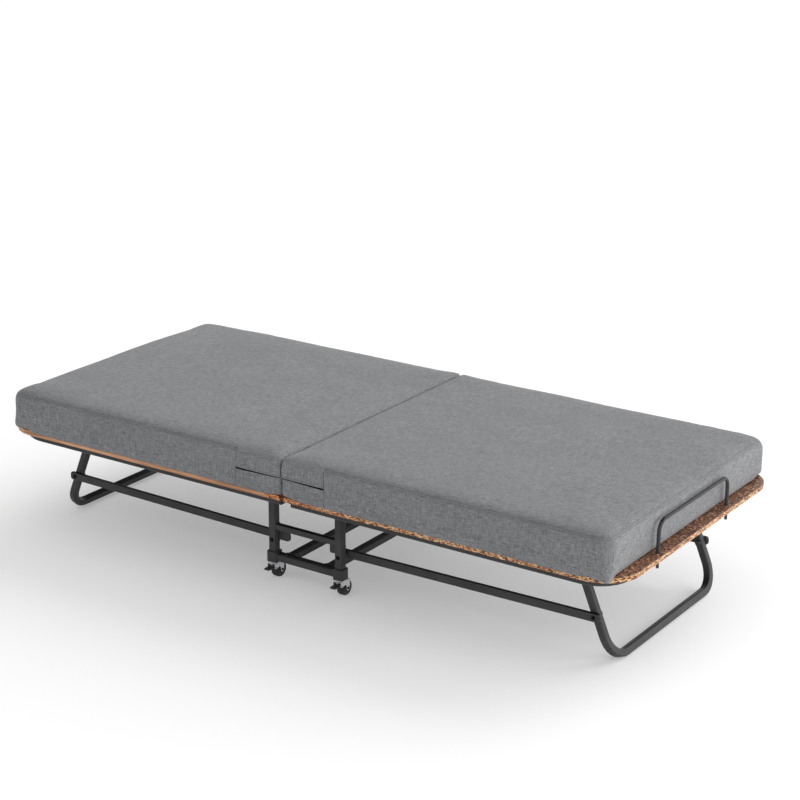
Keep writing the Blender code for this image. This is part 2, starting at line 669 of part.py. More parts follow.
def retainer_nuts(side, parent):
    """Nuts under the board that hold the retainer bar."""
    inside = STUD_RADIUS + HOLE_CLEARANCE
    top = BOARD_BOTTOM - GAP
    turns = [2 * pi * k / BOLT_SIDES for k in range(BOLT_SIDES)]
    for y_side, y in zip((FRONT, REAR), retainer_feet(side)):
        bm = bmesh.new()
        loops = []
        for hexagonal, z in ((False, top), (True, top), (True, top - NUT_HEIGHT),
                             (False, top - NUT_HEIGHT)):
            reach = [hex_radius(t, NUT_FLATS) if hexagonal else inside for t in turns]
            loops.append([bm.verts.new((side * retainer_x(side) + r * cos(t), y + r * sin(t), z))
                          for t, r in zip(turns, reach)])
        for i in range(4):
            one, two = loops[i], loops[(i + 1) % 4]
            for k in range(BOLT_SIDES):
                j = (k + 1) % BOLT_SIDES
                bm.faces.new((one[k], one[j], two[j], two[k]))
        bmesh.ops.recalc_face_normals(bm, faces=bm.faces)
        add(f"{X_NAMES[side]}_retainer_nut_{Y_NAMES[y_side]}", bm, "black_fixing", parent)


# ---- Legs and links --------------------------------------------------------
def leg_length():
    """Leg hinge to the middle of the foot bar, so the bar's edge is on the floor."""
    section = square_section(LEG_TUBE, LEG_TUBE)
    below = max(a * sin(LEG_SPLAY) + b * cos(LEG_SPLAY) for a, b in section)
    return (LEG_HINGE_HEIGHT - below) / cos(LEG_SPLAY)


def leg(side, parent):
    """U of square tube: round hinge ends, bends, foot bar and two weld nuts."""
    name = f"{X_NAMES[side]}_leg"
    hinge = Vector((side * LEG_HINGE_X, 0, LEG_HINGE_HEIGHT))
    down = Vector((side * sin(LEG_SPLAY), 0, -cos(LEG_SPLAY)))
    out = Vector((side * cos(LEG_SPLAY), 0, sin(LEG_SPLAY)))
    length, bend = leg_length(), LEG_BEND_RADIUS
    steps = LEG_BEND_STEPS
    flat = arc((bend - LEG_Y, length - bend), bend, pi, pi / 2, steps)
    flat += arc((LEG_Y - bend, length - bend), bend, pi / 2, 0, steps)
    half = LEG_TUBE / 2
    ends = [radians(a) for a in (0, 30, 55, 75, 90)]

    def ring(y, along, in_plane, across, tangent):
        """A section of the tube at (y, along) in the leg's own plane."""
        middle = hinge + Vector((0, y, 0)) + down * along
        lateral = Vector((0, tangent[1], 0)) - down * tangent[0]
        corner = min(TUBE_CORNER, in_plane, across)
        section = rounded_rectangle((-in_plane, -across), (in_plane, across), corner)
        return [middle + lateral * a + out * b for a, b in section]

    rings = []
    for t in reversed(ends):
        rings.append(ring(-LEG_Y, -half * sin(t), half, max(half * cos(t), LEG_TIP), (0, 1)))
    for k, (y, along) in enumerate(flat):
        turn = pi / 2 * (min(k, steps) + max(k - steps - 1, 0)) / steps
        rings.append(ring(y, along, half, half, (sin(turn), cos(turn))))
    for t in ends:
        rings.append(ring(LEG_Y, -half * sin(t), half, max(half * cos(t), LEG_TIP), (0, -1)))
    body = loft(rings)

    at = hinge + down * LEG_BOLT_DISTANCE
    joined, cuts = [], []
    for y_side in (FRONT, REAR):
        inner = y_side * (LEG_Y - half)
        nut_end = y_side * (LEG_Y - half - NUT_HEIGHT)
        turns = [2 * pi * k / 6 for k in range(6)]
        outline = [(at.x + NUT_FLATS / sqrt(3) * cos(t), at.z + NUT_FLATS / sqrt(3) * sin(t))
                   for t in turns]
        joined.append(prism(outline, inner + y_side * WELD, nut_end, "Y"))
        cuts.append(cylinder(HOLE_RADIUS,
                             (hinge.x, y_side * (LEG_Y - half - WELD), hinge.z),
                             (hinge.x, y_side * (LEG_OUTER_Y + WELD), hinge.z), HOLE_SIDES))
    add(name, carve(body, name, joined, cuts), "black_steel", parent)


def link_mesh():
    """Flat link along +X from its post bolt, with rounded ends and two holes."""
    outline = rounded_rectangle((-LINK_TAIL, -LINK_HEIGHT / 2),
                                (LINK_LENGTH + LINK_TIP, LINK_HEIGHT / 2), LINK_CORNER, 3)
    half = LINK_THICKNESS / 2
    body = broken_prism(outline, -half, half, LINK_EDGE_BREAK, "Y")
    holes = [cylinder(HOLE_RADIUS, (x, -half - WELD, 0), (x, half + WELD, 0), HOLE_SIDES)
             for x in (0, LINK_LENGTH)]
    return carve(body, "link", (), holes)


def link(x_side, y_side, mesh, parent):
    middle = (LINK_OUTER_Y + LINK_INNER_Y) / 2
    turn = (0, -LINK_TILT, 0) if x_side == RIGHT else (0, -LINK_TILT, pi)
    add(f"link_{Y_NAMES[y_side]}_{X_NAMES[x_side]}", mesh, "black_steel", parent,
        (x_side * POST_X, y_side * middle, LINK_AXIS_HEIGHT), turn)


# ---- Bolts -----------------------------------------------------------------
def bolt_mesh(name, grip, nut=True):
    """Button-head bolt along +Y: its head's underside is at 0, its nut at grip."""
    turns = [2 * pi * k / BOLT_SIDES for k in range(BOLT_SIDES)]

    def ring(y, reach):
        return [(r * cos(t), y, r * sin(t)) for t, r in zip(turns, reach)]

    def round_ring(y, radius):
        return ring(y, [radius] * BOLT_SIDES)

    rings = [round_ring(-HEAD_HEIGHT * sin(t), HEAD_RADIUS * cos(t))
             for t in [radians(a) for a in (70, 35)]]
    rings += [round_ring(0, HEAD_RADIUS), round_ring(0, BOLT_RADIUS)]
    if nut:
        hexagon = [hex_radius(t, NUT_FLATS) for t in turns]
        rings += [round_ring(grip, BOLT_RADIUS), ring(grip, hexagon),
                  ring(grip + NUT_HEIGHT, hexagon)]
    else:
        rings.append(round_ring(grip, BOLT_RADIUS))
    return mesh_from(loft(rings), name)


def bolt(name, mesh, x, z, head_y, y_side, parent=None):
    """Place a bolt with its head outside, pointing to the middle of the bed."""
    turn = (0, 0, 0) if y_side == FRONT else (0, 0, pi)
    add(name, mesh, "black_fixing", parent, (x, y_side * head_y, z), turn)


def bolts(x_side, y_side, meshes, axes):
    """The four bolts of one corner, each carried by the piece it belongs to."""
    where = f"{Y_NAMES[y_side]}_{X_NAMES[x_side]}"
    bolt(f"fold_bolt_{where}", meshes["fold"], x_side * FOLD_X, FOLD_Z,
         POST_OUTER_Y + 2 * GAP + EAR_THICKNESS, y_side, axes["deck"])
    bolt(f"post_bolt_{where}", meshes["post"], x_side * POST_X, LINK_AXIS_HEIGHT,
         POST_OUTER_Y + GAP, y_side)
    bolt(f"leg_bolt_{where}", meshes["leg"], x_side * LEG_BOLT_X, LEG_BOLT_Z,
         LINK_OUTER_Y + GAP, y_side, axes["link"])
    bolt(f"hinge_bolt_{where}", meshes["hinge"], x_side * LEG_HINGE_X, LEG_HINGE_HEIGHT,
         LEG_OUTER_Y + SLIDE_GAP + EAR_THICKNESS + GAP, y_side, axes["deck"])


def bolt_meshes():
    ears = 2 * (EAR_THICKNESS + GAP)
    return {
        "fold": bolt_mesh("fold_bolt", POST_SIZE + 2 * GAP + ears),
        "post": bolt_mesh("post_bolt", POST_OUTER_Y - LINK_INNER_Y + 2 * GAP),
        "leg": bolt_mesh("leg_bolt", LINK_THICKNESS + GAP, nut=False),
        "hinge": bolt_mesh("hinge_bolt", LEG_TUBE + 2 * SLIDE_GAP + ears),
    }


# ---- Casters: meshes about the kingpin, wheel trailing towards +Y -----------
def caster_plate_mesh():
    """Square top plate with the riveted kingpin."""
    half = SOCKET_HALF
    plate = broken_prism(rounded_rectangle((-half, -half), (half, half), TUBE_CORNER),
                         CASTER_PLATE_BOTTOM, CASTER_PLATE_TOP, FINE_BREAK)
    head_top = FORK_UNDERSIDE - GAP
    pin = turned([(KINGPIN_HEAD - SMALL_BEVEL, head_top - KINGPIN_HEAD_HEIGHT),
                  (KINGPIN_HEAD, head_top - KINGPIN_HEAD_HEIGHT / 2), (KINGPIN_HEAD, head_top),
                  (KINGPIN_RADIUS, head_top), (KINGPIN_RADIUS, CASTER_PLATE_BOTTOM + WELD)], 12)
    return carve(plate, "caster_plate", [pin])


def fork_cheek_outline():
    """Side of the fork as (y, z): deep at the kingpin, tapering to the axle."""
    outline = [(CASTER_TRAIL + FORK_BACK, FORK_TOP), (-FORK_FRONT, FORK_TOP)]
    outline += arc((-PEDAL_AXIS_AHEAD, PEDAL_AXIS_HEIGHT), FORK_FRONT - PEDAL_AXIS_AHEAD,
                   pi, 1.6 * pi, 4)
    outline += [(CASTER_TRAIL + y, WHEEL_RADIUS + z) for y, z in FORK_WAIST]
    outline += arc((CASTER_TRAIL, WHEEL_RADIUS), FORK_TIP, pi, 2.1 * pi, 7)
    return outline


def fork_mesh(with_pedal):
    outline = fork_cheek_outline()
    cheeks = [prism(outline, side * FORK_INNER, side * FORK_OUTER, "X") for side in (-1, 1)]
    back = CASTER_TRAIL + FORK_BACK
    top = prism([(-FORK_OUTER, -FORK_FRONT), (FORK_OUTER, -FORK_FRONT), (FORK_OUTER, back),
                 (-FORK_OUTER, back)], FORK_UNDERSIDE, FORK_TOP)
    race = turned([(RACE_RADIUS, FORK_UNDERSIDE + FORK_METAL / 2),
                   (RACE_RADIUS, FORK_TOP), (RACE_RADIUS - SMALL_BEVEL, RACE_TOP)], 16)
    cuts = [cylinder(KINGPIN_RADIUS + HOLE_CLEARANCE, (0, 0, FORK_UNDERSIDE - WELD),
                     (0, 0, RACE_TOP + WELD), BOLT_SIDES),
            cylinder(AXLE_RADIUS + HOLE_CLEARANCE, (-FORK_OUTER - WELD, CASTER_TRAIL, WHEEL_RADIUS),
                     (FORK_OUTER + WELD, CASTER_TRAIL, WHEEL_RADIUS), 10)]
    if with_pedal:
        cuts.append(cylinder(PEDAL_PIN_RADIUS + HOLE_CLEARANCE,
                             (-FORK_OUTER - WELD, -PEDAL_AXIS_AHEAD, PEDAL_AXIS_HEIGHT),
                             (FORK_OUTER + WELD, -PEDAL_AXIS_AHEAD, PEDAL_AXIS_HEIGHT), 8))
    return carve(top, "caster_fork", cheeks + [race], cuts)


def wheel_mesh():
    """Wheel about X with rounded shoulders, a recessed web and a raised hub."""
    half, tread = WHEEL_WIDTH / 2, WHEEL_RADIUS
    soft = WHEEL_SHOULDER
    bore = AXLE_RADIUS + HOLE_CLEARANCE
    web = half - HUB_RECESS
    right = [(bore, half), (HUB_RADIUS, half), (HUB_RADIUS + SMALL_BEVEL, web),
             (tread - RIM_DEPTH, web)]
    right += [(tread - soft + soft * sin(t), half - soft + soft * cos(t))
              for t in [radians(a) for a in (10, 50, 90)]]
    profile = right + [(r, -h) for r, h in reversed(right)]
    bm = turned_ring(profile, 20)
    bmesh.ops.rotate(bm, verts=bm.verts, matrix=Matrix.Rotation(pi / 2, 3, "Y"))
    return mesh_from(bm, "caster_wheel")


def axle_mesh():
    """Rivet along X through the fork and the wheel."""
    end = FORK_OUTER + GAP
    half = [(AXLE_RADIUS, end), (AXLE_HEAD, end),
            (AXLE_HEAD - SMALL_BEVEL, end + AXLE_HEAD_HEIGHT)]
    bm = turned([(r, -z) for r, z in reversed(half)] + half, 10)
    bmesh.ops.rotate(bm, verts=bm.verts, matrix=Matrix.Rotation(pi / 2, 3, "Y"))
    return mesh_from(bm, "caster_axle")


def pedal_mesh():
    """Brake pedal about its own pin: hub between the cheeks and a foot plate ahead."""
    hub_half = FORK_INNER - SLIDE_GAP
    hub = cylinder(PEDAL_HUB_RADIUS, (-hub_half, 0, 0), (hub_half, 0, 0), 12)
    pin = cylinder(PEDAL_PIN_RADIUS, (-FORK_OUTER - GAP, 0, 0), (FORK_OUTER + GAP, 0, 0), 10)
    half, end = PEDAL_WIDTH / 2, -PEDAL_LENGTH
    neck = hub_half - WELD
    shoulder = PEDAL_AXIS_AHEAD - FORK_FRONT - PEDAL_NECK_ROOM
    outline = [(neck, -WELD), (neck, shoulder), (half, shoulder - PEDAL_FLARE)]
    outline += arc((half - PEDAL_CORNER, end + PEDAL_CORNER), PEDAL_CORNER, 0, -pi / 2, 4)
    outline += [(-x, y) for x, y in reversed(outline)]
    plate = broken_prism(outline, -PEDAL_THICKNESS / 2, PEDAL_THICKNESS / 2, FINE_BREAK)
    return carve(plate, "brake_pedal", [hub, pin])


def caster_meshes():
    return {"plate": caster_plate_mesh(), "fork": fork_mesh(False), "braked": fork_mesh(True),
            "wheel": wheel_mesh(), "axle": axle_mesh(), "pedal": pedal_mesh()}


def caster(x_side, y_side, meshes):
    """One swivel caster under a post.  The front two have a brake pedal."""
    where = f"{Y_NAMES[y_side]}_{X_NAMES[x_side]}"
    x, y = x_side * POST_X, y_side * POST_Y
    add(f"caster_plate_{where}", meshes["plate"], "bright_steel", place=(x, y, 0))
    swivel = axis(f"caster_swivel_axis_{where}", (x, y, SOCKET_BOTTOM))
    fork = meshes["braked"] if y_side == FRONT else meshes["fork"]
    add(f"caster_fork_{where}", fork, "bright_steel", swivel, (x, y, 0))
    hub = (x, y + CASTER_TRAIL, WHEEL_RADIUS)
    add(f"caster_axle_{where}", meshes["axle"], "black_fixing", swivel, hub)
    add(f"caster_wheel_{where}", meshes["wheel"], "wheel_rubber", swivel, hub)
    if y_side == FRONT:
        add(f"brake_pedal_{X_NAMES[x_side]}", meshes["pedal"], "black_plastic", swivel,
            (x, y - PEDAL_AXIS_AHEAD, PEDAL_AXIS_HEIGHT))


# ---- The whole bed ---------------------------------------------------------
def clear_scene():
    for obj in list(bpy.data.objects):
        bpy.data.objects.remove(obj)


def half_bed(side, link_shape, bolt_set):
    """One deck with its leg and links, on the axes that they turn about."""
    deck_axis = axis(f"{X_NAMES[side]}_fold_axis", (side * FOLD_X, 0, FOLD_Z))
    leg_axis = axis(f"{X_NAMES[side]}_leg_axis", (side * LEG_HINGE_X, 0, LEG_HINGE_HEIGHT),
                    deck_axis)
    link_axis = axis(f"{X_NAMES[side]}_link_axis", (side * POST_X, 0, LINK_AXIS_HEIGHT))
    deck_frame(side, deck_axis)
    board(side, deck_axis)
    mattress(side, deck_axis)
    retainer_bar(side, deck_axis)
    retainer_nuts(side, deck_axis)
    leg(side, leg_axis)
    for y_side in (FRONT, REAR):
        link(side, y_side, link_shape, link_axis)
        bolts(side, y_side, bolt_set, {"deck": deck_axis, "link": link_axis})


def main():
    clear_scene()
    base_frame()
    for y_side in (FRONT, REAR):
        upper_rail(y_side)
        for x_side in (LEFT, RIGHT):
            post(x_side, y_side)
    caster_set = caster_meshes()
    for y_side in (FRONT, REAR):
        for x_side in (LEFT, RIGHT):
            caster(x_side, y_side, caster_set)
    link_shape, bolt_set = link_mesh(), bolt_meshes()
    for side in (LEFT, RIGHT):
        half_bed(side, link_shape, bolt_set)


main()
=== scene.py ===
import json
from math import cos, pi, radians, sin

import bpy
import numpy as np
from mathutils import Matrix, Vector, noise
from mathutils.bvhtree import BVHTree


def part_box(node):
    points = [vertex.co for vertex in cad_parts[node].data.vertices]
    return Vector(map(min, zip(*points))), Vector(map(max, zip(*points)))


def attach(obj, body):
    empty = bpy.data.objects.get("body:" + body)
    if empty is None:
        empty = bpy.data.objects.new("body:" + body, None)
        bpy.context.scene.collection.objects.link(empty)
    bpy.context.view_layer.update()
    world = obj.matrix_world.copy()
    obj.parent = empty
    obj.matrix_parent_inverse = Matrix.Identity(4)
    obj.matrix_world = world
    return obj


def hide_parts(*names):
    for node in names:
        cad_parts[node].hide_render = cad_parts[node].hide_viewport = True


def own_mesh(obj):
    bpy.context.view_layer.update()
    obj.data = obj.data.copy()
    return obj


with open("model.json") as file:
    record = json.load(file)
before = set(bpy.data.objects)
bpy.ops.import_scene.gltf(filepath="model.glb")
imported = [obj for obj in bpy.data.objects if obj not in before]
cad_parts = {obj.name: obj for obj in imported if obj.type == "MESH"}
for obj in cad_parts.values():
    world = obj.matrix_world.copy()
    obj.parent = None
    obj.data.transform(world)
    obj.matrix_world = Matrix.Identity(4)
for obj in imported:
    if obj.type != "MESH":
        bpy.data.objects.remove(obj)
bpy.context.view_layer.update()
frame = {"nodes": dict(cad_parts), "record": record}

NODES = frame["nodes"]
SIDES = {"left": -1, "right": 1}
ENDS = {"front": -1, "rear": 1}

# ---- Sizes of the sewn mattress, in metres ---------------------------------
GRID = 0.0095                   # spacing of the cover's mesh before it is subdivided
EDGE_LINE = 0.004               # an extra grid line this far inside each edge
END_ROUND = 0.034               # plan radius of the outer corners
SIDE_EASE = 0.0075              # cover beyond the CAD solid on the long sides
SIDE_DROOP = 0.0050             # lower edge of the cover hanging past the board
SIDE_ROUND = 0.024              # how far the long sides' top edges are rounded inwards
SEAM_ROUND = 0.012              # the same where the two halves meet
SEAM_TOP_ROUND = 0.013          # there, at the top
SEAM_BOTTOM_ROUND = 0.008       # and at the bottom
SEAM_BULGE = 0.0035             # how far the right half leans over the left at mid height
TOP_ROUND = 0.020               # height of the top edges' rounding away from the seam
CORNER_REACH = 0.080            # the outer corners are softer, from this far in
CORNER_ROUND = 0.038            # their plan radius
CORNER_TOP_ROUND = 0.028        # their rounding at the top
REAR_BOTTOM_ROUND = 0.026       # and at the bottom, on the far side
END_RISE = {"left": 0.0030, "right": 0.0}    # extra height of the cover's outer end
END_FALL = 2.6                  # share of it that is lost towards the far corner
END_BOTTOM_ROUND = {"left": 0.026, "right": 0.009}  # under the outer ends
SIDE_BOTTOM_ROUND = 0.0025      # under the long sides
BOTTOM_BLEND = 0.055            # height over which the lower rounding gives way
RAIL_ROOM = 0.018               # depth of the dents that the upper rails press in
RAIL_EASE = 0.008               # width over which a dent fades out
CORNER_DROOP = {"left": 0.1, "right": 0.25}  # further fall past the board's rounded corner
BOARD_CORNER = 0.100            # plan radius of the board's outer corners
TOP_RISE = 0.0035               # crown of the cover above the CAD solid
PUFF_CAP = 0.007                # furthest that the pressed cover may move
SEAM_DROP = 0.0032              # boxing seam below the top
GROOVE_DEPTH = 0.0012           # how deep a sewn seam sinks into the cover
GROOVE_WIDTH = 0.0075
FLAP_REACH = {"left": 0.1490, "right": 0.1335}  # flap's sewn end from the middle
SLIT_HEIGHT = 0.339             # flap's open lower edge above the floor
FLAP_LIFT = 0.0026              # how far the flap stands off the cover at its open edge
STITCH_PITCH = 0.0062
STITCH_LENGTH = 0.0040

# ---- Sizes of the frame that the welds and plugs follow --------------------
BASE_TUBE = 0.022
SOCKET_SIZE = 0.030
LONG_RAIL_X = 0.0625            # base frame's long rails from the middle
FRAME_TUBE = (0.025, 0.020)     # width and height of the deck's side tubes
CROSSBAR = (0.025, 0.0148)      # width and height of a crossbar
CROSSBAR_COUNT = 5
FIRST_CROSSBAR = 0.100          # from the middle of the bed
CROSSBAR_PITCH = 0.175
CROSSBAR_DROP = 0.0002          # crossbars' tops below the deck frame's top
LINK_TAIL = 0.030               # link beyond its post bolt
LINK_TIP = 0.016                # link beyond its leg bolt
LINK_PLUG_HEIGHT = 0.0115
PLUG_INSET = 0.003              # plug narrower than its tube
PLUG_RINGS = ((0.0, 0.0002), (0.0, 0.0009), (0.0009, 0.0014), (0.0024, 0.0014),
              (0.0029, 0.0004))                 # inset and height of a plug's face
SOCKET_RINGS = ((0.0023, 0.00004), (0.0021, 0.00030), (0.0017, 0.00030),
                (0.0017, 0.00008))              # radius and height of a bolt's socket
WELD_RADIUS = 0.0014
TREAD_RIBS = (-0.0052, 0.0, 0.0052)             # places of the ribs across a wheel

# ---- Light, camera and finish ----------------------------------------------
INNER_STRANDS = -0.050          # strands show on the left board from here inwards
PAPER = 0.78                    # share of the floor's white that takes the shadow
PAPER_WHITE = 1.05              # the floor's lit and glowing shares together
WORLD_LIGHT = 0.66
SUN_FROM = (0.6, 1.9, 1.0)
SUN_POWER = 2.1
SUN_WIDTH = radians(60)
END_LIGHT = ("end", (4.6, 0.6, 1.3), (0.6, 0, 0.3), (2.6, 1.6), 57)
CAMERA_AT = (2.9422, -4.2487, 2.182)
CAMERA_YAW, CAMERA_PITCH, CAMERA_ROLL = 0.5938, -0.3267, 0.0042
CAMERA_LENS = 91.07


# ---- Node graphs -----------------------------------------------------------
class Graph:
    """A material's node tree, with short calls for the nodes used here."""

    def __init__(self, name):
        self.material = bpy.data.materials.new(name)
        self.material.use_nodes = True
        self.tree = self.material.node_tree
        self.shader = self.tree.nodes["Principled BSDF"]
        self.place = self.add("ShaderNodeTexCoord").outputs["Object"]

    def add(self, kind, **settings):
        node = self.tree.nodes.new(kind)
        for key, value in settings.items():
            setattr(node, key, value)
        return node

    def link(self, source, target):
        if isinstance(source, (int, float, tuple)):
            target.default_value = source
        else:
            self.tree.links.new(source, target)

    def scaled(self, scale, offset=(0, 0, 0)):
        node = self.add("ShaderNodeMapping")
        self.link(self.place, node.inputs["Vector"])
        node.inputs["Scale"].default_value = scale
        node.inputs["Location"].default_value = offset
        return node.outputs["Vector"]

    def noise(self, vector, scale=1.0, detail=2.0, rough=0.5, distortion=0.0):
        node = self.add("ShaderNodeTexNoise")
        self.link(vector, node.inputs["Vector"])
        for name, value in (("Scale", scale), ("Detail", detail), ("Roughness", rough),
                            ("Distortion", distortion)):
            node.inputs[name].default_value = value
        return node.outputs["Fac"]

    def voronoi(self, vector):
        node = self.add("ShaderNodeTexVoronoi")
        self.link(vector, node.inputs["Vector"])
        node.inputs["Scale"].default_value = 1.0
        return node.outputs["Color"]

    def math(self, operation, a, b=0.0):
        node = self.add("ShaderNodeMath", operation=operation)
        self.link(a, node.inputs[0])
        self.link(b, node.inputs[1])
        return node.outputs[0]

    def mix(self, amount, a, b, blend="MIX"):
        node = self.add("ShaderNodeMix", data_type="RGBA", blend_type=blend)
        self.link(amount, node.inputs["Factor"])
        for value, socket in ((a, node.inputs["A"]), (b, node.inputs["B"])):
            self.link(value + (1.0,) if isinstance(value, tuple) else value, socket)
        return node.outputs["Result"]

    def ramp(self, value, stops):
        node = self.add("ShaderNodeValToRGB")
        self.link(value, node.inputs["Fac"])
        elements = node.color_ramp.elements
        while len(elements) < len(stops):
            elements.new(0.5)
        for element, (at, colour) in zip(elements, stops):
            element.position = at
            element.color = colour + (1.0,)
        return node.outputs["Color"]

    def range(self, value, low, high, to_low, to_high):
        node = self.add("ShaderNodeMapRange")
        self.link(value, node.inputs["Value"])
        for name, number in (("From Min", low), ("From Max", high),
                             ("To Min", to_low), ("To Max", to_high)):
            node.inputs[name].default_value = number
        return node.outputs["Result"]

    def bump(self, height, distance, strength=1.0, round_edges=0.0):
        node = self.add("ShaderNodeBump")
        self.link(height, node.inputs["Height"])
        node.inputs["Distance"].default_value = distance
        node.inputs["Strength"].default_value = strength
        if round_edges:
            bevel = self.add("ShaderNodeBevel", samples=4)
            bevel.inputs["Radius"].default_value = round_edges
            self.link(bevel.outputs["Normal"], node.inputs["Normal"])
        self.link(node.outputs["Normal"], self.shader.inputs["Normal"])

    def woven(self, scales, detail, offset):
        """Threads along each axis, each shown on the faces that it runs along."""
        total = 0.0
        for index, scale in enumerate(scales):
            wave = self.noise(self.scaled(scale, offset), 1.0, detail, 0.55)
            across = self.math("POWER", self.math("ABSOLUTE", self.facing(index)), 2.0)
            shown = self.math("SUBTRACT", 1.0, across)
            wave = self.math("MULTIPLY", self.math("SUBTRACT", wave, 0.5), shown)
            total = self.math("ADD", wave, total)
        return total

    def facing(self, index):
        """Component of the surface's own normal: 0 for X, 1 for Y, 2 for Z."""
        split = self.add("ShaderNodeSeparateXYZ")
        self.link(self.add("ShaderNodeTexCoord").outputs["Normal"], split.inputs[0])
        return split.outputs[index]

    def set(self, **values):
        names = {"colour": "Base Color", "rough": "Roughness", "metal": "Metallic",
                 "specular": "Specular IOR Level", "sheen": "Sheen Weight",
                 "sheen_rough": "Sheen Roughness"}
        for key, value in values.items():
            if isinstance(value, tuple) and len(value) == 3:
                value = value + (1.0,)
            self.link(value, self.shader.inputs[names[key]])
        return self.material


def fabric(name):
    """Heathered linen: uneven threads each way over a fine weave, with faint patches, and painted
    shade that darkens the top and lightens the sides.
    """
    g = Graph(name)
    runs = ((50, 460, 460), (460, 50, 460), (460, 460, 50))
    fine = ((130, 1150, 1150), (1150, 130, 1150), (1150, 1150, 130))
    threads = g.woven(runs, 2, (0, 3, 9))
    weave = g.woven(fine, 1, (5, 1, 6))
    patches = g.noise(g.scaled((6.0, 9.0, 9.0)), 1.0, 3, 0.55)
    tone = g.math("ADD", g.math("MULTIPLY", threads, 0.85), g.math("MULTIPLY", weave, 0.40))
    tone = g.math("MULTIPLY", tone, g.range(g.facing(2), 0.2, 1.0, 1.0, 0.78))
    tone = g.math("ADD", g.math("ADD", tone, 0.5), g.range(patches, 0.3, 0.7, -0.03, 0.03))
    # Painted shade: up-facing cloth is made darker and the sides lighter, standing in for how the
    # light falls.
    tone = g.math("ADD", tone, g.range(g.facing(2), 0.0, 1.0, 0.06, -0.05))
    colour = g.ramp(tone, [(0.0, (0.070, 0.071, 0.074)), (0.35, (0.172, 0.175, 0.181)),
                           (0.62, (0.262, 0.267, 0.276)), (1.0, (0.420, 0.427, 0.440))])
    g.bump(g.math("ADD", threads, weave), 0.0006, 0.5)
    return g.set(colour=colour, rough=0.92, specular=0.2, sheen=0.12, sheen_rough=0.45)


def dark_fabric(name, level):
    g = Graph(name)
    grain = g.noise(g.scaled((800, 800, 800)), 1.0, 2, 0.5)
    colour = g.mix(grain, (level * 0.7,) * 3, (level * 1.4,) * 3)
    g.bump(grain, 0.0003, 0.4)
    return g.set(colour=colour, rough=0.95, specular=0.15)


def powder_coat(name, level=0.076):
    """Charcoal powder coat: fine orange peel, softened edges, and painted shade that makes the
    top faces near black.
    """
    g = Graph(name)
    peel = g.noise(g.scaled((420, 420, 420)), 1.0, 2, 0.5)
    cloud = g.noise(g.scaled((14, 14, 14)), 1.0, 4, 0.6)
    colour = g.mix(g.range(cloud, 0.3, 0.7, 0.0, 1.0), (level * 0.88, level * 0.89, level * 0.9),
                   (level * 1.15, level * 1.16, level * 1.18))
    # Painted shade: faces turned upwards are mixed towards near black, as if shadowed by the deck
    # above.
    upward = g.range(g.facing(2), 0.5, 0.9, 0.0, 0.92)
    colour = g.mix(upward, colour, (0.0008, 0.0008, 0.0008))
    g.bump(peel, 0.00025, 0.35, round_edges=0.0018)
    return g.set(colour=colour, rough=g.range(cloud, 0.3, 0.7, 0.32, 0.42), specular=0.05)


def black_oxide(name):
    g = Graph(name)
    grain = g.noise(g.scaled((600, 600, 600)), 1.0, 3, 0.6)
    g.bump(grain, 0.00012, 0.4, round_edges=0.0007)
    return g.set(colour=g.mix(grain, (0.001, 0.001, 0.001), (0.004, 0.004, 0.004)),
                 rough=g.range(grain, 0.3, 0.7, 0.42, 0.58), specular=0.1)


def plated_steel(name):
    """Bright zinc plate with the faint brushing of a pressed part."""
    g = Graph(name)
    brushing = g.noise(g.scaled((90, 1500, 90)), 1.0, 3, 0.6)
    cloud = g.noise(g.scaled((60, 60, 60)), 1.0, 3, 0.5)
    g.bump(brushing, 0.00008, 0.35, round_edges=0.0006)
    return g.set(colour=g.mix(cloud, (0.62, 0.63, 0.65), (0.80, 0.81, 0.82)),
                 rough=g.range(brushing, 0.3, 0.7, 0.20, 0.34), metal=0.9)


def rubber(name):
    g = Graph(name)
    dust = g.noise(g.scaled((150, 150, 150)), 1.0, 4, 0.65)
    g.bump(dust, 0.0002, 0.3, round_edges=0.0008)
    return g.set(colour=g.mix(dust, (0.010, 0.010, 0.011), (0.030, 0.030, 0.031)),
                 rough=g.range(dust, 0.3, 0.7, 0.5, 0.72), specular=0.4)


def moulded_plastic(name):
    g = Graph(name)
    grain = g.noise(g.scaled((900, 900, 900)), 1.0, 2, 0.5)
    g.bump(grain, 0.00015, 0.4, round_edges=0.0008)
    return g.set(colour=g.mix(grain, (0.012, 0.012, 0.013), (0.024, 0.024, 0.025)),
                 rough=0.48, specular=0.5)


def smooth_wood(name):
    """Board with a plain light-brown edge, fine grain along the bed, dark underside."""
    g = Graph(name)
    grain = g.noise(g.scaled((5, 120, 330)), 1.0, 4, 0.6)
    cloud = g.noise(g.scaled((9, 9, 40), (4, 1, 0)), 1.0, 3, 0.5)
    edge = g.ramp(g.math("ADD", g.range(grain, 0.34, 0.66, 0.0, 0.75),
                         g.range(cloud, 0.3, 0.7, 0.0, 0.25)),
                  [(0.0, (0.220, 0.090, 0.040)), (0.5, (0.600, 0.290, 0.145)),
                   (1.0, (0.920, 0.560, 0.340))])
    split = g.add("ShaderNodeSeparateXYZ")
    g.link(g.place, split.inputs[0])
    inner = g.range(split.outputs[0], INNER_STRANDS - 0.006, INNER_STRANDS + 0.004, 0.0, 1.0)
    g.bump(grain, 0.0003, 0.4, round_edges=0.0006)
    return g.set(colour=dark_below(g, g.mix(inner, edge, strands(g)[1])), rough=0.55,
                 specular=0.35)


def dark_below(g, colour):
    """The board's underside is coloured near black."""
    below = g.range(g.facing(2), -0.6, -0.3, 1.0, 0.0)
    return g.mix(below, colour, (0.020, 0.018, 0.017))


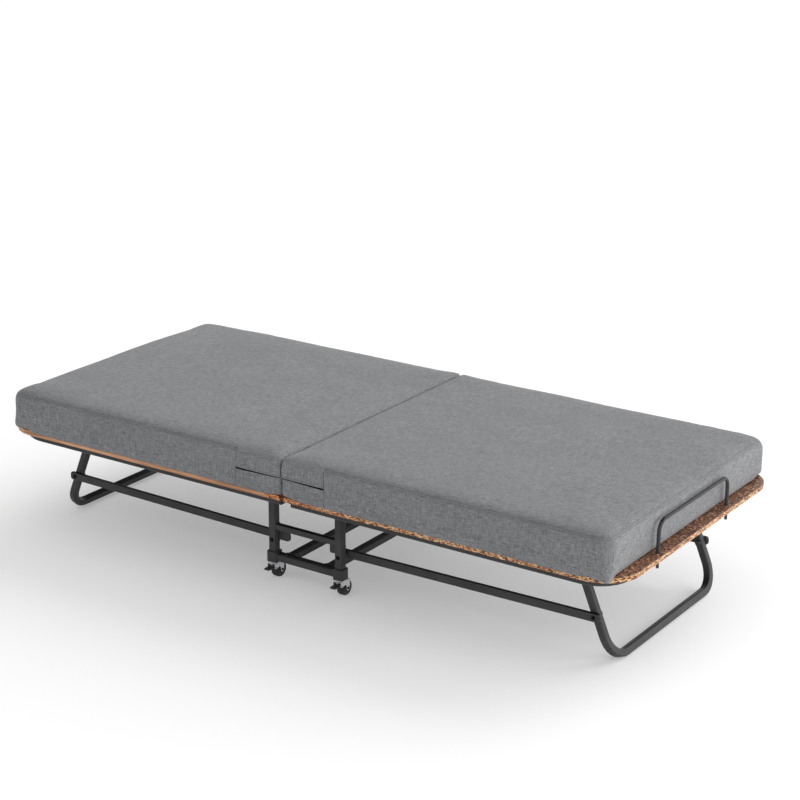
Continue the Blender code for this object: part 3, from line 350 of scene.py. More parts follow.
def strands(g):
    """Edge of pressed strands in gold and brown with short dark gaps."""
    long = g.voronoi(g.scaled((75, 75, 300)))
    short = g.voronoi(g.scaled((150, 150, 420), (2, 3, 5)))
    grain = g.noise(g.scaled((60, 60, 500)), 1.0, 4, 0.65, 0.5)
    gaps = g.noise(g.scaled((210, 210, 430), (7, 3, 1)), 1.0, 3, 0.7)
    value = g.math("ADD", g.math("MULTIPLY", long, 0.36), g.math("MULTIPLY", short, 0.36))
    value = g.math("ADD", value, g.math("MULTIPLY", grain, 0.32))
    edge = g.ramp(value, [(0.28, (0.050, 0.016, 0.007)), (0.40, (0.330, 0.120, 0.045)),
                          (0.50, (0.720, 0.360, 0.150)), (0.64, (0.960, 0.680, 0.360)),
                          (0.80, (1.000, 0.880, 0.600))])
    split = g.add("ShaderNodeSeparateXYZ")
    g.link(g.place, split.inputs[0])
    reddish = g.range(split.outputs[0], 0.04, 0.30, 0.75, 0.22)
    edge = g.mix(reddish, edge, g.mix(1.0, edge, (0.86, 0.50, 0.36), "MULTIPLY"))
    dark = g.range(gaps, 0.43, 0.48, 1.0, 0.0)
    return value, g.mix(dark, edge, (0.045, 0.014, 0.006))


def strand_wood(name):
    """Board with a golden edge of strands and a dark, coarsely speckled top."""
    g = Graph(name)
    value, edge = strands(g)
    chips = g.noise(g.scaled((330, 330, 330)), 1.0, 4, 0.75)
    flakes = g.voronoi(g.scaled((190, 380, 200)))
    face = g.math("ADD", g.math("MULTIPLY", flakes, 0.35), g.math("MULTIPLY", chips, 0.65))
    top = g.ramp(face, [(0.38, (0.010, 0.003, 0.002)), (0.48, (0.080, 0.026, 0.011)),
                        (0.57, (0.250, 0.090, 0.038)), (0.66, (0.700, 0.400, 0.210))])
    upward = g.range(g.facing(2), 0.4, 0.8, 0.0, 1.0)
    colour = dark_below(g, g.mix(upward, edge, top))
    g.bump(value, 0.0006, 0.5, round_edges=0.0006)
    return g.set(colour=colour, rough=0.5, specular=0.4)


# ---- Meshes ----------------------------------------------------------------
def new_object(name, mesh, material):
    obj = bpy.data.objects.new(name, mesh)
    bpy.context.scene.collection.objects.link(obj)
    mesh.materials.clear()
    mesh.materials.append(material)
    return obj


def from_faces(name, points, faces, material, smooth=True):
    mesh = bpy.data.meshes.new(name)
    mesh.from_pydata([tuple(p) for p in points], [], faces)
    if smooth:
        mesh.shade_smooth()
    mesh.update()
    return new_object(name, mesh, material)


def skin(rings, sides, start=0):
    """Faces over a stack of rings of points, numbered from start, with both ends closed."""
    faces = []
    for ring_start in range(start, start + (rings - 1) * sides, sides):
        for k in range(sides):
            a, b = ring_start + k, ring_start + (k + 1) % sides
            faces.append((a, b, b + sides, a + sides))
    last = start + (rings - 1) * sides
    faces.append(tuple(start + k for k in reversed(range(sides))))
    faces.append(tuple(last + k for k in range(sides)))
    return faces


def lines(low, high, spacing, extra=()):
    """Evenly spaced grid lines from low to high, with the extra ones added."""
    count = max(2, round((high - low) / spacing))
    even = [low + (high - low) * k / count for k in range(count + 1)]
    kept = [v for v in even if all(abs(v - e) > spacing * 0.3 for e in extra)
            or v in (even[0], even[-1])]
    return sorted(kept + [e for e in extra if low < e < high])


def box_grid(xs, ys, zs):
    """The skin of a box as points and quads on the given grid lines."""
    index, points, faces = {}, [], []

    def at(i, j, k):
        if (i, j, k) not in index:
            index[i, j, k] = len(points)
            points.append((xs[i], ys[j], zs[k]))
        return index[i, j, k]

    nx, ny, nz = len(xs) - 1, len(ys) - 1, len(zs) - 1
    for i in range(nx):
        for j in range(ny):
            faces.append((at(i, j, 0), at(i, j + 1, 0), at(i + 1, j + 1, 0), at(i + 1, j, 0)))
            faces.append((at(i, j, nz), at(i + 1, j, nz), at(i + 1, j + 1, nz), at(i, j + 1, nz)))
    for i in range(nx):
        for k in range(nz):
            faces.append((at(i, 0, k), at(i + 1, 0, k), at(i + 1, 0, k + 1), at(i, 0, k + 1)))
            faces.append((at(i, ny, k), at(i, ny, k + 1), at(i + 1, ny, k + 1), at(i + 1, ny, k)))
    for j in range(ny):
        for k in range(nz):
            faces.append((at(0, j, k), at(0, j, k + 1), at(0, j + 1, k + 1), at(0, j + 1, k)))
            faces.append((at(nx, j, k), at(nx, j + 1, k), at(nx, j + 1, k + 1), at(nx, j, k + 1)))
    return np.array(points), faces


def smoothstep(t):
    t = np.clip(t, 0.0, 1.0)
    return t * t * (3 - 2 * t)


def rounded(points, low, high, end_bottom):
    """Round a box's edges: tight at the seam and under the long sides, soft elsewhere."""
    x, y, z = points.T
    from_seam = smoothstep((x - low[0]) / 0.07)
    near_end = smoothstep((x - high[0] + 0.09) / 0.07)
    upper = smoothstep((z - low[2]) / BOTTOM_BLEND)
    corner = (smoothstep((x - high[0] + CORNER_REACH) / CORNER_REACH)
              * smoothstep((np.abs(y) - high[1] + CORNER_REACH) / CORNER_REACH))
    rear = np.where(y > 0, corner, 0.0)
    bottom = SIDE_BOTTOM_ROUND + (end_bottom - SIDE_BOTTOM_ROUND) * near_end
    bottom = bottom + (REAR_BOTTOM_ROUND - bottom) * rear
    side = bottom + (SIDE_ROUND - bottom) * np.maximum(upper, near_end)
    round_y = SEAM_ROUND + (side - SEAM_ROUND) * from_seam
    round_x = np.where(x < (low[0] + high[0]) / 2, SEAM_ROUND,
                       end_bottom + (END_ROUND - end_bottom) * upper)
    round_z = np.where(z > (low[2] + high[2]) / 2,
                       TOP_ROUND + (CORNER_TOP_ROUND - TOP_ROUND) * corner, bottom)
    soft = np.maximum(rear, corner * upper)
    round_x = round_x + (CORNER_ROUND - round_x) * soft
    round_y = round_y + (CORNER_ROUND - round_y) * soft
    at_seam = np.where(z > (low[2] + high[2]) / 2, SEAM_TOP_ROUND, SEAM_BOTTOM_ROUND)
    round_z = at_seam + (round_z - at_seam) * from_seam
    inner = np.stack([np.clip(x, low[0] + round_x, high[0] - round_x),
                      np.clip(y, low[1] + round_y, high[1] - round_y),
                      np.clip(z, low[2] + round_z, high[2] - round_z)], 1)
    radii = np.stack([round_x, round_y, round_z], 1)
    q = (points - inner) / radii
    length = np.linalg.norm(q, axis=1)
    scale = np.where(length > 1e-9, np.abs(q).max(1) / np.maximum(length, 1e-9), 1.0)
    return inner + q * scale[:, None] * radii


def pressed(obj, cap):
    """Blow the cover up against its own cloth, and keep the movement under the cap."""
    rest = coordinates(obj.data)
    cloth = obj.modifiers.new("cloth", "CLOTH")
    cloth.settings.quality = 4
    cloth.settings.mass = 0.3
    cloth.settings.tension_stiffness = 25
    cloth.settings.compression_stiffness = 25
    cloth.settings.bending_stiffness = 0.6
    cloth.settings.use_pressure = True
    cloth.settings.uniform_pressure_force = 4.0
    cloth.settings.effector_weights.gravity = 0
    cloth.collision_settings.use_collision = False
    cloth.collision_settings.use_self_collision = False
    scene = bpy.context.scene
    cloth.point_cache.frame_start, cloth.point_cache.frame_end = 1, 20
    for step in range(1, 21):
        scene.frame_set(step)
    shape = obj.evaluated_get(bpy.context.evaluated_depsgraph_get()).data
    moved = coordinates(shape) - rest
    obj.modifiers.remove(cloth)
    scene.frame_set(1)
    length = np.linalg.norm(moved, axis=1)
    soft = cap * np.tanh(length / cap)
    moved *= (soft / np.maximum(length, 1e-9))[:, None]
    move_to(obj, rest + moved)


def subdivided(obj):
    modifier = obj.modifiers.new("fine", "SUBSURF")
    modifier.levels = modifier.render_levels = 1
    shape = obj.evaluated_get(bpy.context.evaluated_depsgraph_get())
    mesh = bpy.data.meshes.new_from_object(shape)
    obj.modifiers.remove(modifier)
    old, obj.data = obj.data, mesh
    bpy.data.meshes.remove(old)
    mesh.shade_smooth()


def coordinates(mesh):
    co = np.zeros(len(mesh.vertices) * 3, np.float32)
    mesh.vertices.foreach_get("co", co)
    return co.reshape(-1, 3).astype(float)


def move_to(obj, co):
    obj.data.vertices.foreach_set("co", co.astype(np.float32).ravel())
    obj.data.update()


def normals(obj):
    n = np.zeros(len(obj.data.vertices) * 3, np.float32)
    obj.data.vertex_normals.foreach_get("vector", n)
    return n.reshape(-1, 3).astype(float)


def groove(distance, width=GROOVE_WIDTH):
    return np.exp(-(distance / width * 2) ** 2)


def sewn_shape(obj, side, low, high, reach):
    """Sink the seams, lift the flap and lay soft waves into the pressed cover."""
    co, n = coordinates(obj.data), normals(obj)
    x, z = co[:, 0] * side, co[:, 2]
    push = np.zeros(len(co))
    on_side = 1 - np.abs(n[:, 2]) ** 4
    seam_z = high[2] - SEAM_DROP
    front = n[:, 1] < -0.5
    in_flap = front & (x < reach)
    outside = np.where(x < low[0] + 0.012, 0.0, 1.0)
    boxing = groove(z - seam_z) * on_side * outside
    push -= GROOVE_DEPTH * np.where(in_flap, 0.0, boxing)
    push -= 0.7 * GROOVE_DEPTH * np.where(front, groove(x - reach) * on_side, 0.0)
    lip = smoothstep((z - SLIT_HEIGHT) / 0.0035) * smoothstep((seam_z - z) / 0.030)
    sideways = smoothstep((reach - x) / 0.02)
    push += FLAP_LIFT * np.where(in_flap, lip * sideways, 0.0)
    wave = np.array([noise.noise(Vector((p[0] * 7, p[1] * 7, p[2] * 9 + side))) for p in co])
    ripple = np.array([noise.noise(Vector((p[0] * 26, p[1] * 26, p[2] * 9 + 4 * side)))
                       for p in co])
    near_seam = np.exp(-((z - seam_z) / 0.016) ** 2) * on_side
    push += 0.0011 * wave * np.clip(n[:, 2], 0, 1) + 0.0005 * ripple * near_seam
    move_to(obj, co + n * push[:, None])


def beyond_board(points, side_name):
    """How far each point lies outside the board's outline, seen from above."""
    low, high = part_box(f"{side_name}_board")
    end = max(-low.x, high.x)
    past_x = np.abs(points[:, 0]) - (end - BOARD_CORNER)
    past_y = np.abs(points[:, 1]) - (high.y - BOARD_CORNER)
    round_part = np.hypot(np.maximum(past_x, 0), np.maximum(past_y, 0)) - BOARD_CORNER
    return np.where((past_x > 0) & (past_y > 0), round_part,
                    np.maximum(past_x, past_y) - BOARD_CORNER) - 0.0003


def rail_lines():
    """Distance of the upper rails from the bed's centre line, and half the room they need."""
    low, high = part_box("upper_rail_rear")
    return (low.y + high.y) / 2, (high.y - low.y) / 2 + 0.004


def leave_rail_room(points, up, inner_x):
    """Press the inner end in where the upper rail passes it, bed folded."""
    middle, half = rail_lines()
    across = 1 - smoothstep((np.abs(np.abs(points[:, 1]) - middle) - half) / RAIL_EASE)
    along = 1 - smoothstep((points[:, 0] - inner_x) / 0.032)
    points[:, 0] += RAIL_ROOM * across * along * (1 - smoothstep((up - 0.80) / 0.12))


def hang_past_board(points, up, side_name, inner_x, outer_x):
    """Let the lower edge hang outside the board's outline, further at its round corner."""
    beyond = beyond_board(points, side_name)
    near_end = smoothstep((points[:, 0] - outer_x + 0.5) / 0.5)
    hang = (SIDE_DROOP * (1 + 0.4 * near_end) * smoothstep(beyond / 0.002)
            + CORNER_DROOP[side_name] * np.maximum(beyond - 0.002, 0))
    from_seam = smoothstep((points[:, 0] - inner_x) / 0.02)
    points[:, 2] -= hang * from_seam * (1 - smoothstep(up / 0.45))


def raise_end(points, up, side_name, outer_x):
    """Raise the top of the outer end, which falls away again towards the far corner."""
    outer = smoothstep((points[:, 0] - outer_x + 0.30) / 0.25) * smoothstep((up - 0.4) / 0.4)
    sunk = END_FALL * smoothstep((points[:, 1] - 0.12) / 0.28)
    points[:, 2] += END_RISE[side_name] * outer * (1 - sunk)


def mattress(side_name, material):
    """One half's cover: a rounded grid, pressed by its cloth, then subdivided and sewn."""
    side, reach = SIDES[side_name], FLAP_REACH[side_name]
    low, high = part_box(f"{side_name}_mattress")
    if side < 0:
        low, high = Vector((-high.x, low.y, low.z)), Vector((-low.x, high.y, high.z))
    high.z += TOP_RISE
    low.y -= SIDE_EASE
    high.y += SIDE_EASE
    seam_z, seam_lines = high.z - SEAM_DROP, (-0.003, 0, 0.003)
    xs = lines(low.x, high.x, GRID, [low.x + EDGE_LINE, reach - 0.003, reach, reach + 0.003,
                                     high.x - EDGE_LINE])
    middle, half = rail_lines()
    dents = (-half - RAIL_EASE, -half, half, half + RAIL_EASE)
    ys = lines(low.y, high.y, GRID, [low.y + EDGE_LINE, high.y - EDGE_LINE]
               + [end * (middle + d) for end in (-1, 1) for d in dents])
    zs = lines(low.z, high.z, GRID, [seam_z + d for d in seam_lines]
               + [SLIT_HEIGHT + d for d in (-0.001, 0.0015, 0.004)])
    points, faces = box_grid(xs, ys, zs)
    points = rounded(points, low, high, END_BOTTOM_ROUND[side_name])
    up = (points[:, 2] - low.z) / (high.z - low.z)
    points[:, 0] -= (side * SEAM_BULGE * 4 * up * (1 - up)
                     * smoothstep((low.x + 0.06 - points[:, 0]) / 0.06))
    leave_rail_room(points, up, low.x)
    hang_past_board(points, up, side_name, low.x, high.x)
    raise_end(points, up, side_name, high.x)
    if side < 0:
        points[:, 0] *= -1
        faces = [tuple(reversed(f)) for f in faces]
    obj = from_faces(f"{side_name}_cushion", points, faces, material)
    before = coordinates(obj.data)
    pressed(obj, PUFF_CAP)
    settle(obj, before, side, low)
    subdivided(obj)
    sewn_shape(obj, side, low, high, reach)
    return obj, low, high


def settle(obj, before, side, low):
    """Where the cover meets its other half or lies on the board it stays flat."""
    co = coordinates(obj.data)
    from_seam = smoothstep((before[:, 0] * side - low[0]) / 0.05)
    from_board = smoothstep((before[:, 2] - low[2]) / 0.03)
    co[:, 0] = before[:, 0] + (co[:, 0] - before[:, 0]) * from_seam
    co[:, 2] = before[:, 2] + (co[:, 2] - before[:, 2]) * from_board
    co[:, 1] = before[:, 1] + (co[:, 1] - before[:, 1]) * (0.3 + 0.7 * from_board)
    move_to(obj, co)


# ---- Sewing laid on the finished cover -------------------------------------
def laid(bvh, points, lift, keep_height=False):
    """Nearest places on the cover to the points, lifted along its normal."""
    found = []
    for p in points:
        at, normal, _, _ = bvh.find_nearest(Vector(p))
        for _ in range(8 if keep_height else 0):
            at, normal, _, _ = bvh.find_nearest(Vector((at.x, at.y, p[2])))
        found.append((at + normal * lift, normal))
    return found


def ribbon(name, places, widths, material, thickness=0.0006):
    """A thin strip with a rounded back that follows the cover."""
    profile = [(-1, -1), (-0.7, 0.6), (0, 1), (0.7, 0.6), (1, -1)]
    points, count = [], len(places)
    for k, (at, normal) in enumerate(places):
        ahead = places[min(k + 1, count - 1)][0] - places[max(k - 1, 0)][0]
        across = normal.cross(ahead).normalized()
        half = widths[k] / 2
        points += [at + across * (a * half) + normal * (b * thickness / 2) for a, b in profile]
    return from_faces(name, points, skin(count, len(profile)), material)


def stitches(name, places, radius=0.00042, sides=5):
    """Short raised threads along a line, one mesh for the whole row."""
    thread = ((0.0, 0.35), (0.25, 1.0), (0.75, 1.0), (1.0, 0.35))
    points, faces = [], []
    walked, next_at = 0.0, 0.0
    for (a, normal), (b, _) in zip(places, places[1:]):
        step = (b - a).length
        while next_at <= walked + step and step > 0:
            start = a + (b - a) * ((next_at - walked) / step)
            along = (b - a).normalized()
            across = normal.cross(along).normalized()
            faces += skin(len(thread), sides, len(points))
            for t, r in thread:
                at = start + along * (STITCH_LENGTH * t) + normal * (radius * 0.6 * sin(pi * t))
                for q in range(sides):
                    turn = 2 * pi * q / sides
                    points.append(at + across * (radius * r * cos(turn))
                                  + normal * (radius * r * sin(turn)))
            next_at += STITCH_PITCH
        walked += step
    return from_faces(name, points, faces, MATERIALS["thread"])


def around(side, low, high, z, start_x):
    """Plan path just outside the cover: along the front, round the end, back along the rear."""
    corner = 0.04
    x_end, y_end = high[0], high[1]
    path = [(start_x + (x_end - corner - start_x) * k / 90, low[1]) for k in range(91)]
    path += [(x_end - corner + corner * sin(t), low[1] + corner - corner * cos(t))
             for t in [pi / 2 * k / 10 for k in range(1, 10)]]
    path += [(x_end, low[1] + corner + (y_end - low[1] - 2 * corner) * k / 80)
             for k in range(81)]
    path += [(x_end - corner + corner * cos(t), y_end - corner + corner * sin(t))
             for t in [pi / 2 * k / 10 for k in range(1, 10)]]
    path += [(x_end - corner - (x_end - corner - low[0] - 0.014) * k / 90, y_end)
             for k in range(91)]
    return [(side * x, y, z) for x, y in path]


def cushion_sewing(side_name, cushion, low, high):
    """Boxing seam round the cover, and the flap's end seam, slit and stitches."""
    side, reach = SIDES[side_name], FLAP_REACH[side_name]
    mesh = cushion.data
    mesh.calc_loop_triangles()
    bvh = BVHTree.FromPolygons([v.co[:] for v in mesh.vertices],
                               [p.vertices[:] for p in mesh.polygons])
    pieces = []
    seam_z = high.z - SEAM_DROP
    loop = laid(bvh, around(side, low, high, seam_z, reach), -0.0002, True)
    pieces.append(ribbon(f"{side_name}_boxing_seam", loop, [0.0014] * len(loop),
                         MATERIALS["fabric"], 0.0014))
    shade = laid(bvh, around(side, low, high, seam_z - 0.0013, reach), 0.0, True)
    pieces.append(ribbon(f"{side_name}_boxing_shade", shade, [0.0009] * len(shade),
                         MATERIALS["boxing"], 0.0004))
    stitch_line = laid(bvh, around(side, low, high, seam_z - 0.0052, reach), 0.0001, True)
    pieces.append(stitches(f"{side_name}_boxing_stitches", stitch_line))
    # The flap's end seam is a dark strip of painted shade along the sewn line.
    drop = [(side * reach, low.y, seam_z - (seam_z - low.z - 0.006) * k / 40)
            for k in range(41)]
    sewn = laid(bvh, drop, 0.0)
    widths = [0.0013 if p[2] > SLIT_HEIGHT else 0.0006 for p in drop]
    pieces.append(ribbon(f"{side_name}_flap_seam", sewn, widths, MATERIALS["seam"], 0.0008))
    # The slit is a near-black strip: painted shade inside the flap's opening.
    inner = low.x + 0.003 - side * SEAM_BULGE
    slit = [(side * (reach - (reach - inner) * k / 60), low.y,
             SLIT_HEIGHT - 0.0012 + 0.0022 * (k / 60)) for k in range(61)]
    outward = Vector((0, -1, 0))
    opened = []
    for x, y, z in slit:
        at = bvh.ray_cast(Vector((x, y - 0.05, z)), -outward)[0] or bvh.find_nearest((x, y, z))[0]
        opened.append((at + outward * 0.0005, outward))
    gape = [0.0022 + 0.0036 * (1 - k / 60) ** 0.6 * min(1.0, k / 2) for k in range(61)]
    pieces.append(ribbon(f"{side_name}_flap_slit", opened, gape, MATERIALS["slit"], 0.0012))
    hem = [(x, y, z + 0.0068) for x, y, z in slit[1:-1]]
    pieces.append(stitches(f"{side_name}_flap_stitches", laid(bvh, hem, 0.0001)))
    return pieces


# ---- Small hardware --------------------------------------------------------
def placed(points, at, direction):
    """Turn +Z to the direction and move the points there."""
    turn = Vector((0, 0, 1)).rotation_difference(Vector(direction)).to_matrix()
    return [Vector(at) + turn @ Vector(p) for p in points]


def socket_recess(node, direction):
    """Dark hexagonal socket with a bright rim in the end of a button head."""
    low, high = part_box(node)
    middle = (low + high) / 2
    tip = low.y if direction < 0 else high.y
    points = [(radius * cos(pi / 3 * k), radius * sin(pi / 3 * k), height)
              for radius, height in SOCKET_RINGS for k in range(6)]
    points = placed(points, (middle.x, tip, middle.z), (0, direction, 0))
    # The socket is a thin near-black piece standing on the head: painted shade of the hex hollow.
    return from_faces(f"{node}_socket", points, skin(len(SOCKET_RINGS), 6),
                      MATERIALS["socket"], smooth=False)


def loop_of(width, height, corner, steps=3):
    """Rounded rectangle in the XY plane about the origin, anticlockwise."""
    points = []
    for cx, cy, start in ((1, 1, 0), (-1, 1, pi / 2), (-1, -1, pi), (1, -1, 1.5 * pi)):
        for k in range(steps + 1):
            t = start + pi / 2 * k / steps
            points.append((cx * (width / 2 - corner) + corner * cos(t),
                           cy * (height / 2 - corner) + corner * sin(t)))
    return points


def end_plug(name, at, direction, up, width, height):
    """Black plastic plug in a tube's end: domed rim and a sunken middle."""
    forward = Vector(direction).normalized()
    upward = (Vector(up) - forward * forward.dot(Vector(up))).normalized()
    across = upward.cross(forward)
    points = []
    for inset, out in PLUG_RINGS:
        for x, y in loop_of(width - 2 * inset, height - 2 * inset, max(0.0006, 0.002 - inset)):
            points.append(Vector(at) + across * x + upward * y + forward * out)
    rings = len(PLUG_RINGS)
    piece = from_faces(name, points, skin(rings, len(points) // rings),
                       MATERIALS["black_plastic"])
    piece.data.set_sharp_from_angle(angle=radians(50))
    return piece


def bead(paths, name, radius=WELD_RADIUS, sides=7):
    """Weld beads: rippled fillets swept along each path of points."""
    points, faces = [], []
    for path in paths:
        fine = []
        for a, b in zip(path, path[1:]):
            a, b = Vector(a), Vector(b)
            count = max(2, round((b - a).length / 0.0011))
            fine += [a.lerp(b, k / count) for k in range(count)]
        fine.append(Vector(path[-1]))
        faces += skin(len(fine), sides, len(points))
        for k, at in enumerate(fine):
            ahead = (fine[min(k + 1, len(fine) - 1)] - fine[max(k - 1, 0)]).normalized()
            side = ahead.orthogonal().normalized()
            up = ahead.cross(side)
            size = radius * (0.86 + 0.14 * abs(sin(k * 0.9)))
            if k in (0, len(fine) - 1):
                size *= 0.35
            for q in range(sides):
                t = 2 * pi * q / sides
                points.append(at + side * (size * cos(t)) + up * (size * sin(t)))
    piece = from_faces(name, points, faces, MATERIALS["black_steel"])
    return piece


def rectangle_path(fixed, axis, low, high):
    """Closed path round a rectangle at a fixed place on one axis."""
    corners = [(low[0], low[1]), (high[0], low[1]), (high[0], high[1]), (low[0], high[1])]
    path = []
    for a, b in corners + corners[:1]:
        path.append((fixed, a, b) if axis == "X" else (a, fixed, b))
    return path


def trolley_beads():
    """Where the base's rails meet each other and the sockets, and rails meet posts."""
    low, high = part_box("base_frame")
    middle = (low.z + high.z) / 2
    half = BASE_TUBE / 2
    paths = []
    for y in (-1, 1):
        rail_y = y * (high.y - SOCKET_SIZE / 2)
        for x in (-1, 1):
            paths.append(rectangle_path(x * (high.x - SOCKET_SIZE), "X",
                                        (rail_y - half, middle - half),
                                        (rail_y + half, middle + half)))
            paths.append(rectangle_path(rail_y - y * half, "Y",
                                        (x * LONG_RAIL_X - half, middle - half),
                                        (x * LONG_RAIL_X + half, middle + half)))
    for end_name in ENDS:
        low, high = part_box(f"upper_rail_{end_name}")
        for x in (low.x, high.x):
            paths.append(rectangle_path(x, "X", (low.y, low.z), (high.y, high.z)))
    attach(bead(paths, "trolley_welds"), "trolley")


def deck_beads(side_name):
    """Fillets where the crossbars meet the side tubes, below the board."""
    side = SIDES[side_name]
    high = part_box(f"{side_name}_deck_frame")[1]
    inner_y, top = high.y - FRAME_TUBE[0], high.z - CROSSBAR_DROP
    paths = []
    for k in range(CROSSBAR_COUNT):
        x = side * (FIRST_CROSSBAR + k * CROSSBAR_PITCH)
        for y in (-inner_y, inner_y):
            a, b, foot = x - CROSSBAR[0] / 2, x + CROSSBAR[0] / 2, top - CROSSBAR[1]
            paths.append([(a, y, top - 0.002), (a, y, foot), (b, y, foot), (b, y, top - 0.002)])
    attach(bead(paths, f"{side_name}_deck_welds"), f"{side_name}_deck")


def plugs(side_name):
    """Plugs in the open ends of the deck's side tubes and of the links."""
    side = SIDES[side_name]
    frame_low, frame_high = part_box(f"{side_name}_deck_frame")
    inner_x = frame_high.x if side < 0 else frame_low.x
    for end_name, end in ENDS.items():
        at = (inner_x, end * (frame_high.y - FRAME_TUBE[0] / 2),
              frame_high.z - FRAME_TUBE[1] / 2)
        piece = end_plug(f"{side_name}_{end_name}_frame_plug", at, (-side, 0, 0), (0, 0, 1),
                         FRAME_TUBE[0] - PLUG_INSET, FRAME_TUBE[1] - PLUG_INSET)
        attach(piece, f"{side_name}_deck")
        post = sum(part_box(f"post_bolt_{end_name}_{side_name}"), Vector()) / 2
        leg = sum(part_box(f"leg_bolt_{end_name}_{side_name}"), Vector()) / 2
        link_low, link_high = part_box(f"link_{end_name}_{side_name}")
        along = Vector((leg.x - post.x, 0, leg.z - post.z)).normalized()
        for where, middle, way, reach in (("tail", post, -along, LINK_TAIL),
                                          ("tip", leg, along, LINK_TIP)):
            at = Vector((middle.x, (link_low.y + link_high.y) / 2, middle.z)) + way * reach
            piece = end_plug(f"{side_name}_{end_name}_link_{where}", at, way, (0, 0, 1),
                             link_high.y - link_low.y - PLUG_INSET, LINK_PLUG_HEIGHT)
            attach(piece, f"{side_name}_links")


def ring(centre, radius, thickness, sides=40):
    """Torus about X as points and faces."""
    points, faces = [], []
    for k in range(sides):
        t = 2 * pi * k / sides
        for q in range(6):
            w = 2 * pi * q / 6
            r = radius + thickness * cos(w)
            points.append((centre.x + thickness * sin(w), centre.y + r * cos(t),
                           centre.z + r * sin(t)))
    for k in range(sides):
        for q in range(6):
            a, b = 6 * k, 6 * ((k + 1) % sides)
            j = (q + 1) % 6
            faces.append((a + q, b + q, b + j, a + j))
    return points, faces


def tread(where):
    """Moulded ribs round a wheel."""
    low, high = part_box(f"caster_wheel_{where}")
    middle = (low + high) / 2
    radius = (high.z - low.z) / 2
    points, faces = [], []
    for offset in TREAD_RIBS:
        p, f = ring(middle + Vector((offset, 0, 0)), radius - 0.0007, 0.0010)
        faces += [tuple(i + len(points) for i in face) for face in f]
        points += p
    piece = from_faces(f"caster_tread_{where}", points, faces, MATERIALS["wheel_rubber"])
    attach(piece, f"wheel_{where}")


# ---- Stage -----------------------------------------------------------------
def floor_material():
    """Matte floor for light, and white paper with a pale shadow for the eye."""
    g = Graph("floor")
    g.set(colour=(0.80, 0.80, 0.80), rough=0.9, specular=0.0)
    paper = g.add("ShaderNodeBsdfDiffuse")
    paper.inputs["Color"].default_value = (PAPER, PAPER, PAPER, 1)
    glow = g.add("ShaderNodeEmission")
    glow.inputs["Strength"].default_value = PAPER_WHITE - PAPER
    both = g.add("ShaderNodeAddShader")
    g.link(paper.outputs[0], both.inputs[0])
    g.link(glow.outputs[0], both.inputs[1])
    mixer = g.add("ShaderNodeMixShader")
    g.link(seen_directly(g.tree), mixer.inputs[0])
    g.link(g.shader.outputs[0], mixer.inputs[1])
    g.link(both.outputs[0], mixer.inputs[2])
    g.link(mixer.outputs[0], g.tree.nodes["Material Output"].inputs["Surface"])
    return g.material


def seen_directly(tree):
    """1 for rays from the camera and through metal or glass, 0 for light."""
    path = tree.nodes.new("ShaderNodeLightPath")
    value = path.outputs["Is Camera Ray"]
    for name in ("Is Glossy Ray", "Is Transmission Ray"):
        node = tree.nodes.new("ShaderNodeMath")
        node.operation = "MAXIMUM"
        tree.links.new(value, node.inputs[0])
        tree.links.new(path.outputs[name], node.inputs[1])
        value = node.outputs[0]
    return value


def stage():
    mesh = bpy.data.meshes.new("floor")
    size = 40.0
    mesh.from_pydata([(-size, -size, 0), (size, -size, 0), (size, size, 0), (-size, size, 0)],
                     [], [(0, 1, 2, 3)])
    floor = new_object("floor", mesh, floor_material())

    world = bpy.data.worlds.new("studio")
    world.use_nodes = True
    bpy.context.scene.world = world
    tree = world.node_tree
    tree.nodes.clear()
    output = tree.nodes.new("ShaderNodeOutputWorld")
    seen = tree.nodes.new("ShaderNodeBackground")
    seen.inputs["Color"].default_value = (1, 1, 1, 1)
    seen.inputs["Strength"].default_value = 1.0
    light = tree.nodes.new("ShaderNodeBackground")
    light.inputs["Color"].default_value = (1.0, 1.0, 1.0, 1)
    light.inputs["Strength"].default_value = WORLD_LIGHT
    mixer = tree.nodes.new("ShaderNodeMixShader")
    tree.links.new(seen_directly(tree), mixer.inputs[0])
    tree.links.new(light.outputs[0], mixer.inputs[1])
    tree.links.new(seen.outputs[0], mixer.inputs[2])
    tree.links.new(mixer.outputs[0], output.inputs["Surface"])


def sun():
    data = bpy.data.lights.new("sun", "SUN")
    data.energy, data.angle = SUN_POWER, SUN_WIDTH
    lamp = bpy.data.objects.new("sun", data)
    bpy.context.scene.collection.objects.link(lamp)
    lamp.rotation_euler = Vector(SUN_FROM).to_track_quat("Z", "Y").to_euler()


def area_light(name, at, target, size, power):
    data = bpy.data.lights.new(name, "AREA")
    data.shape = "RECTANGLE"
    data.size, data.size_y = size
    data.energy = power
    lamp = bpy.data.objects.new(name, data)
    bpy.context.scene.collection.objects.link(lamp)
    lamp.location = at
    lamp.rotation_euler = (Vector(target) - Vector(at)).to_track_quat("-Z", "Y").to_euler()
    lamp.visible_camera = lamp.visible_glossy = False
    return lamp


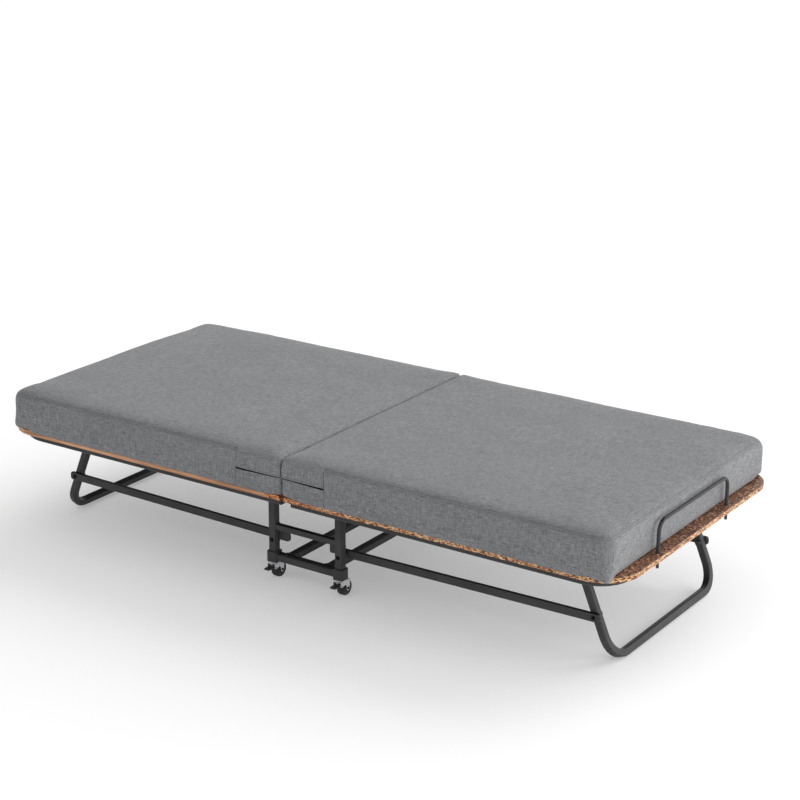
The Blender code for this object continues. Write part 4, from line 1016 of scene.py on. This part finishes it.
def camera():
    data = bpy.data.cameras.new("camera")
    data.lens, data.sensor_width = CAMERA_LENS, 36.0
    data.clip_start, data.clip_end = 0.05, 100
    obj = bpy.data.objects.new("camera", data)
    bpy.context.scene.collection.objects.link(obj)
    turn = (Matrix.Rotation(CAMERA_YAW, 4, "Z") @ Matrix.Rotation(pi / 2 + CAMERA_PITCH, 4, "X")
            @ Matrix.Rotation(CAMERA_ROLL, 4, "Z"))
    obj.matrix_world = Matrix.Translation(CAMERA_AT) @ turn
    bpy.context.scene.camera = obj


# ---- Build -----------------------------------------------------------------
MATERIALS = {
    "fabric": fabric("heathered linen"),
    "seam": dark_fabric("seam shade", 0.040),
    "boxing": dark_fabric("boxing shade", 0.100),
    "thread": dark_fabric("thread", 0.120),
    "slit": dark_fabric("slit shade", 0.0012),
    "black_steel": powder_coat("charcoal powder coat"),
    "black_fixing": black_oxide("black oxide"),
    "bright_steel": plated_steel("bright zinc"),
    "wheel_rubber": rubber("black rubber"),
    "black_plastic": moulded_plastic("moulded plastic"),
    "left_board": smooth_wood("smooth board"),
    "right_board": strand_wood("strand board"),
    "socket": dark_fabric("socket shade", 0.004),
}


def finish_cad_nodes():
    """Every CAD node gets its finish by the record's slot; the boards have their own."""
    slots = {s["node"]: s["material_slot"] for s in frame["record"]["subparts"]}
    for name, obj in NODES.items():
        slot = slots[name]
        material = MATERIALS.get(name) or MATERIALS.get(slot) or MATERIALS["fabric"]
        obj.data.materials.clear()
        obj.data.materials.append(material)
        obj.data.shade_smooth()
        obj.data.set_sharp_from_angle(angle=radians(38))


def add_cushions():
    for side_name in SIDES:
        cushion, low, high = mattress(side_name, MATERIALS["fabric"])
        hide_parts(f"{side_name}_mattress")
        sewing = cushion_sewing(side_name, cushion, low, high)
        for piece in [cushion] + sewing:
            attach(piece, f"{side_name}_deck")
            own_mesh(piece)


finish_cad_nodes()
add_cushions()
for side_name in SIDES:
    for end_name, direction in ENDS.items():
        for bolt, body in (("fold_bolt", f"{side_name}_deck"), ("post_bolt", "trolley"),
                           ("leg_bolt", f"{side_name}_links"),
                           ("hinge_bolt", f"{side_name}_deck")):
            piece = socket_recess(f"{bolt}_{end_name}_{side_name}", direction)
            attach(piece, body)
trolley_beads()
for side_name in SIDES:
    deck_beads(side_name)
    plugs(side_name)
    for end_name in ENDS:
        tread(f"{end_name}_{side_name}")
stage()
sun()
area_light(*END_LIGHT)
camera()
bpy.context.scene.view_settings.view_transform = "Standard"
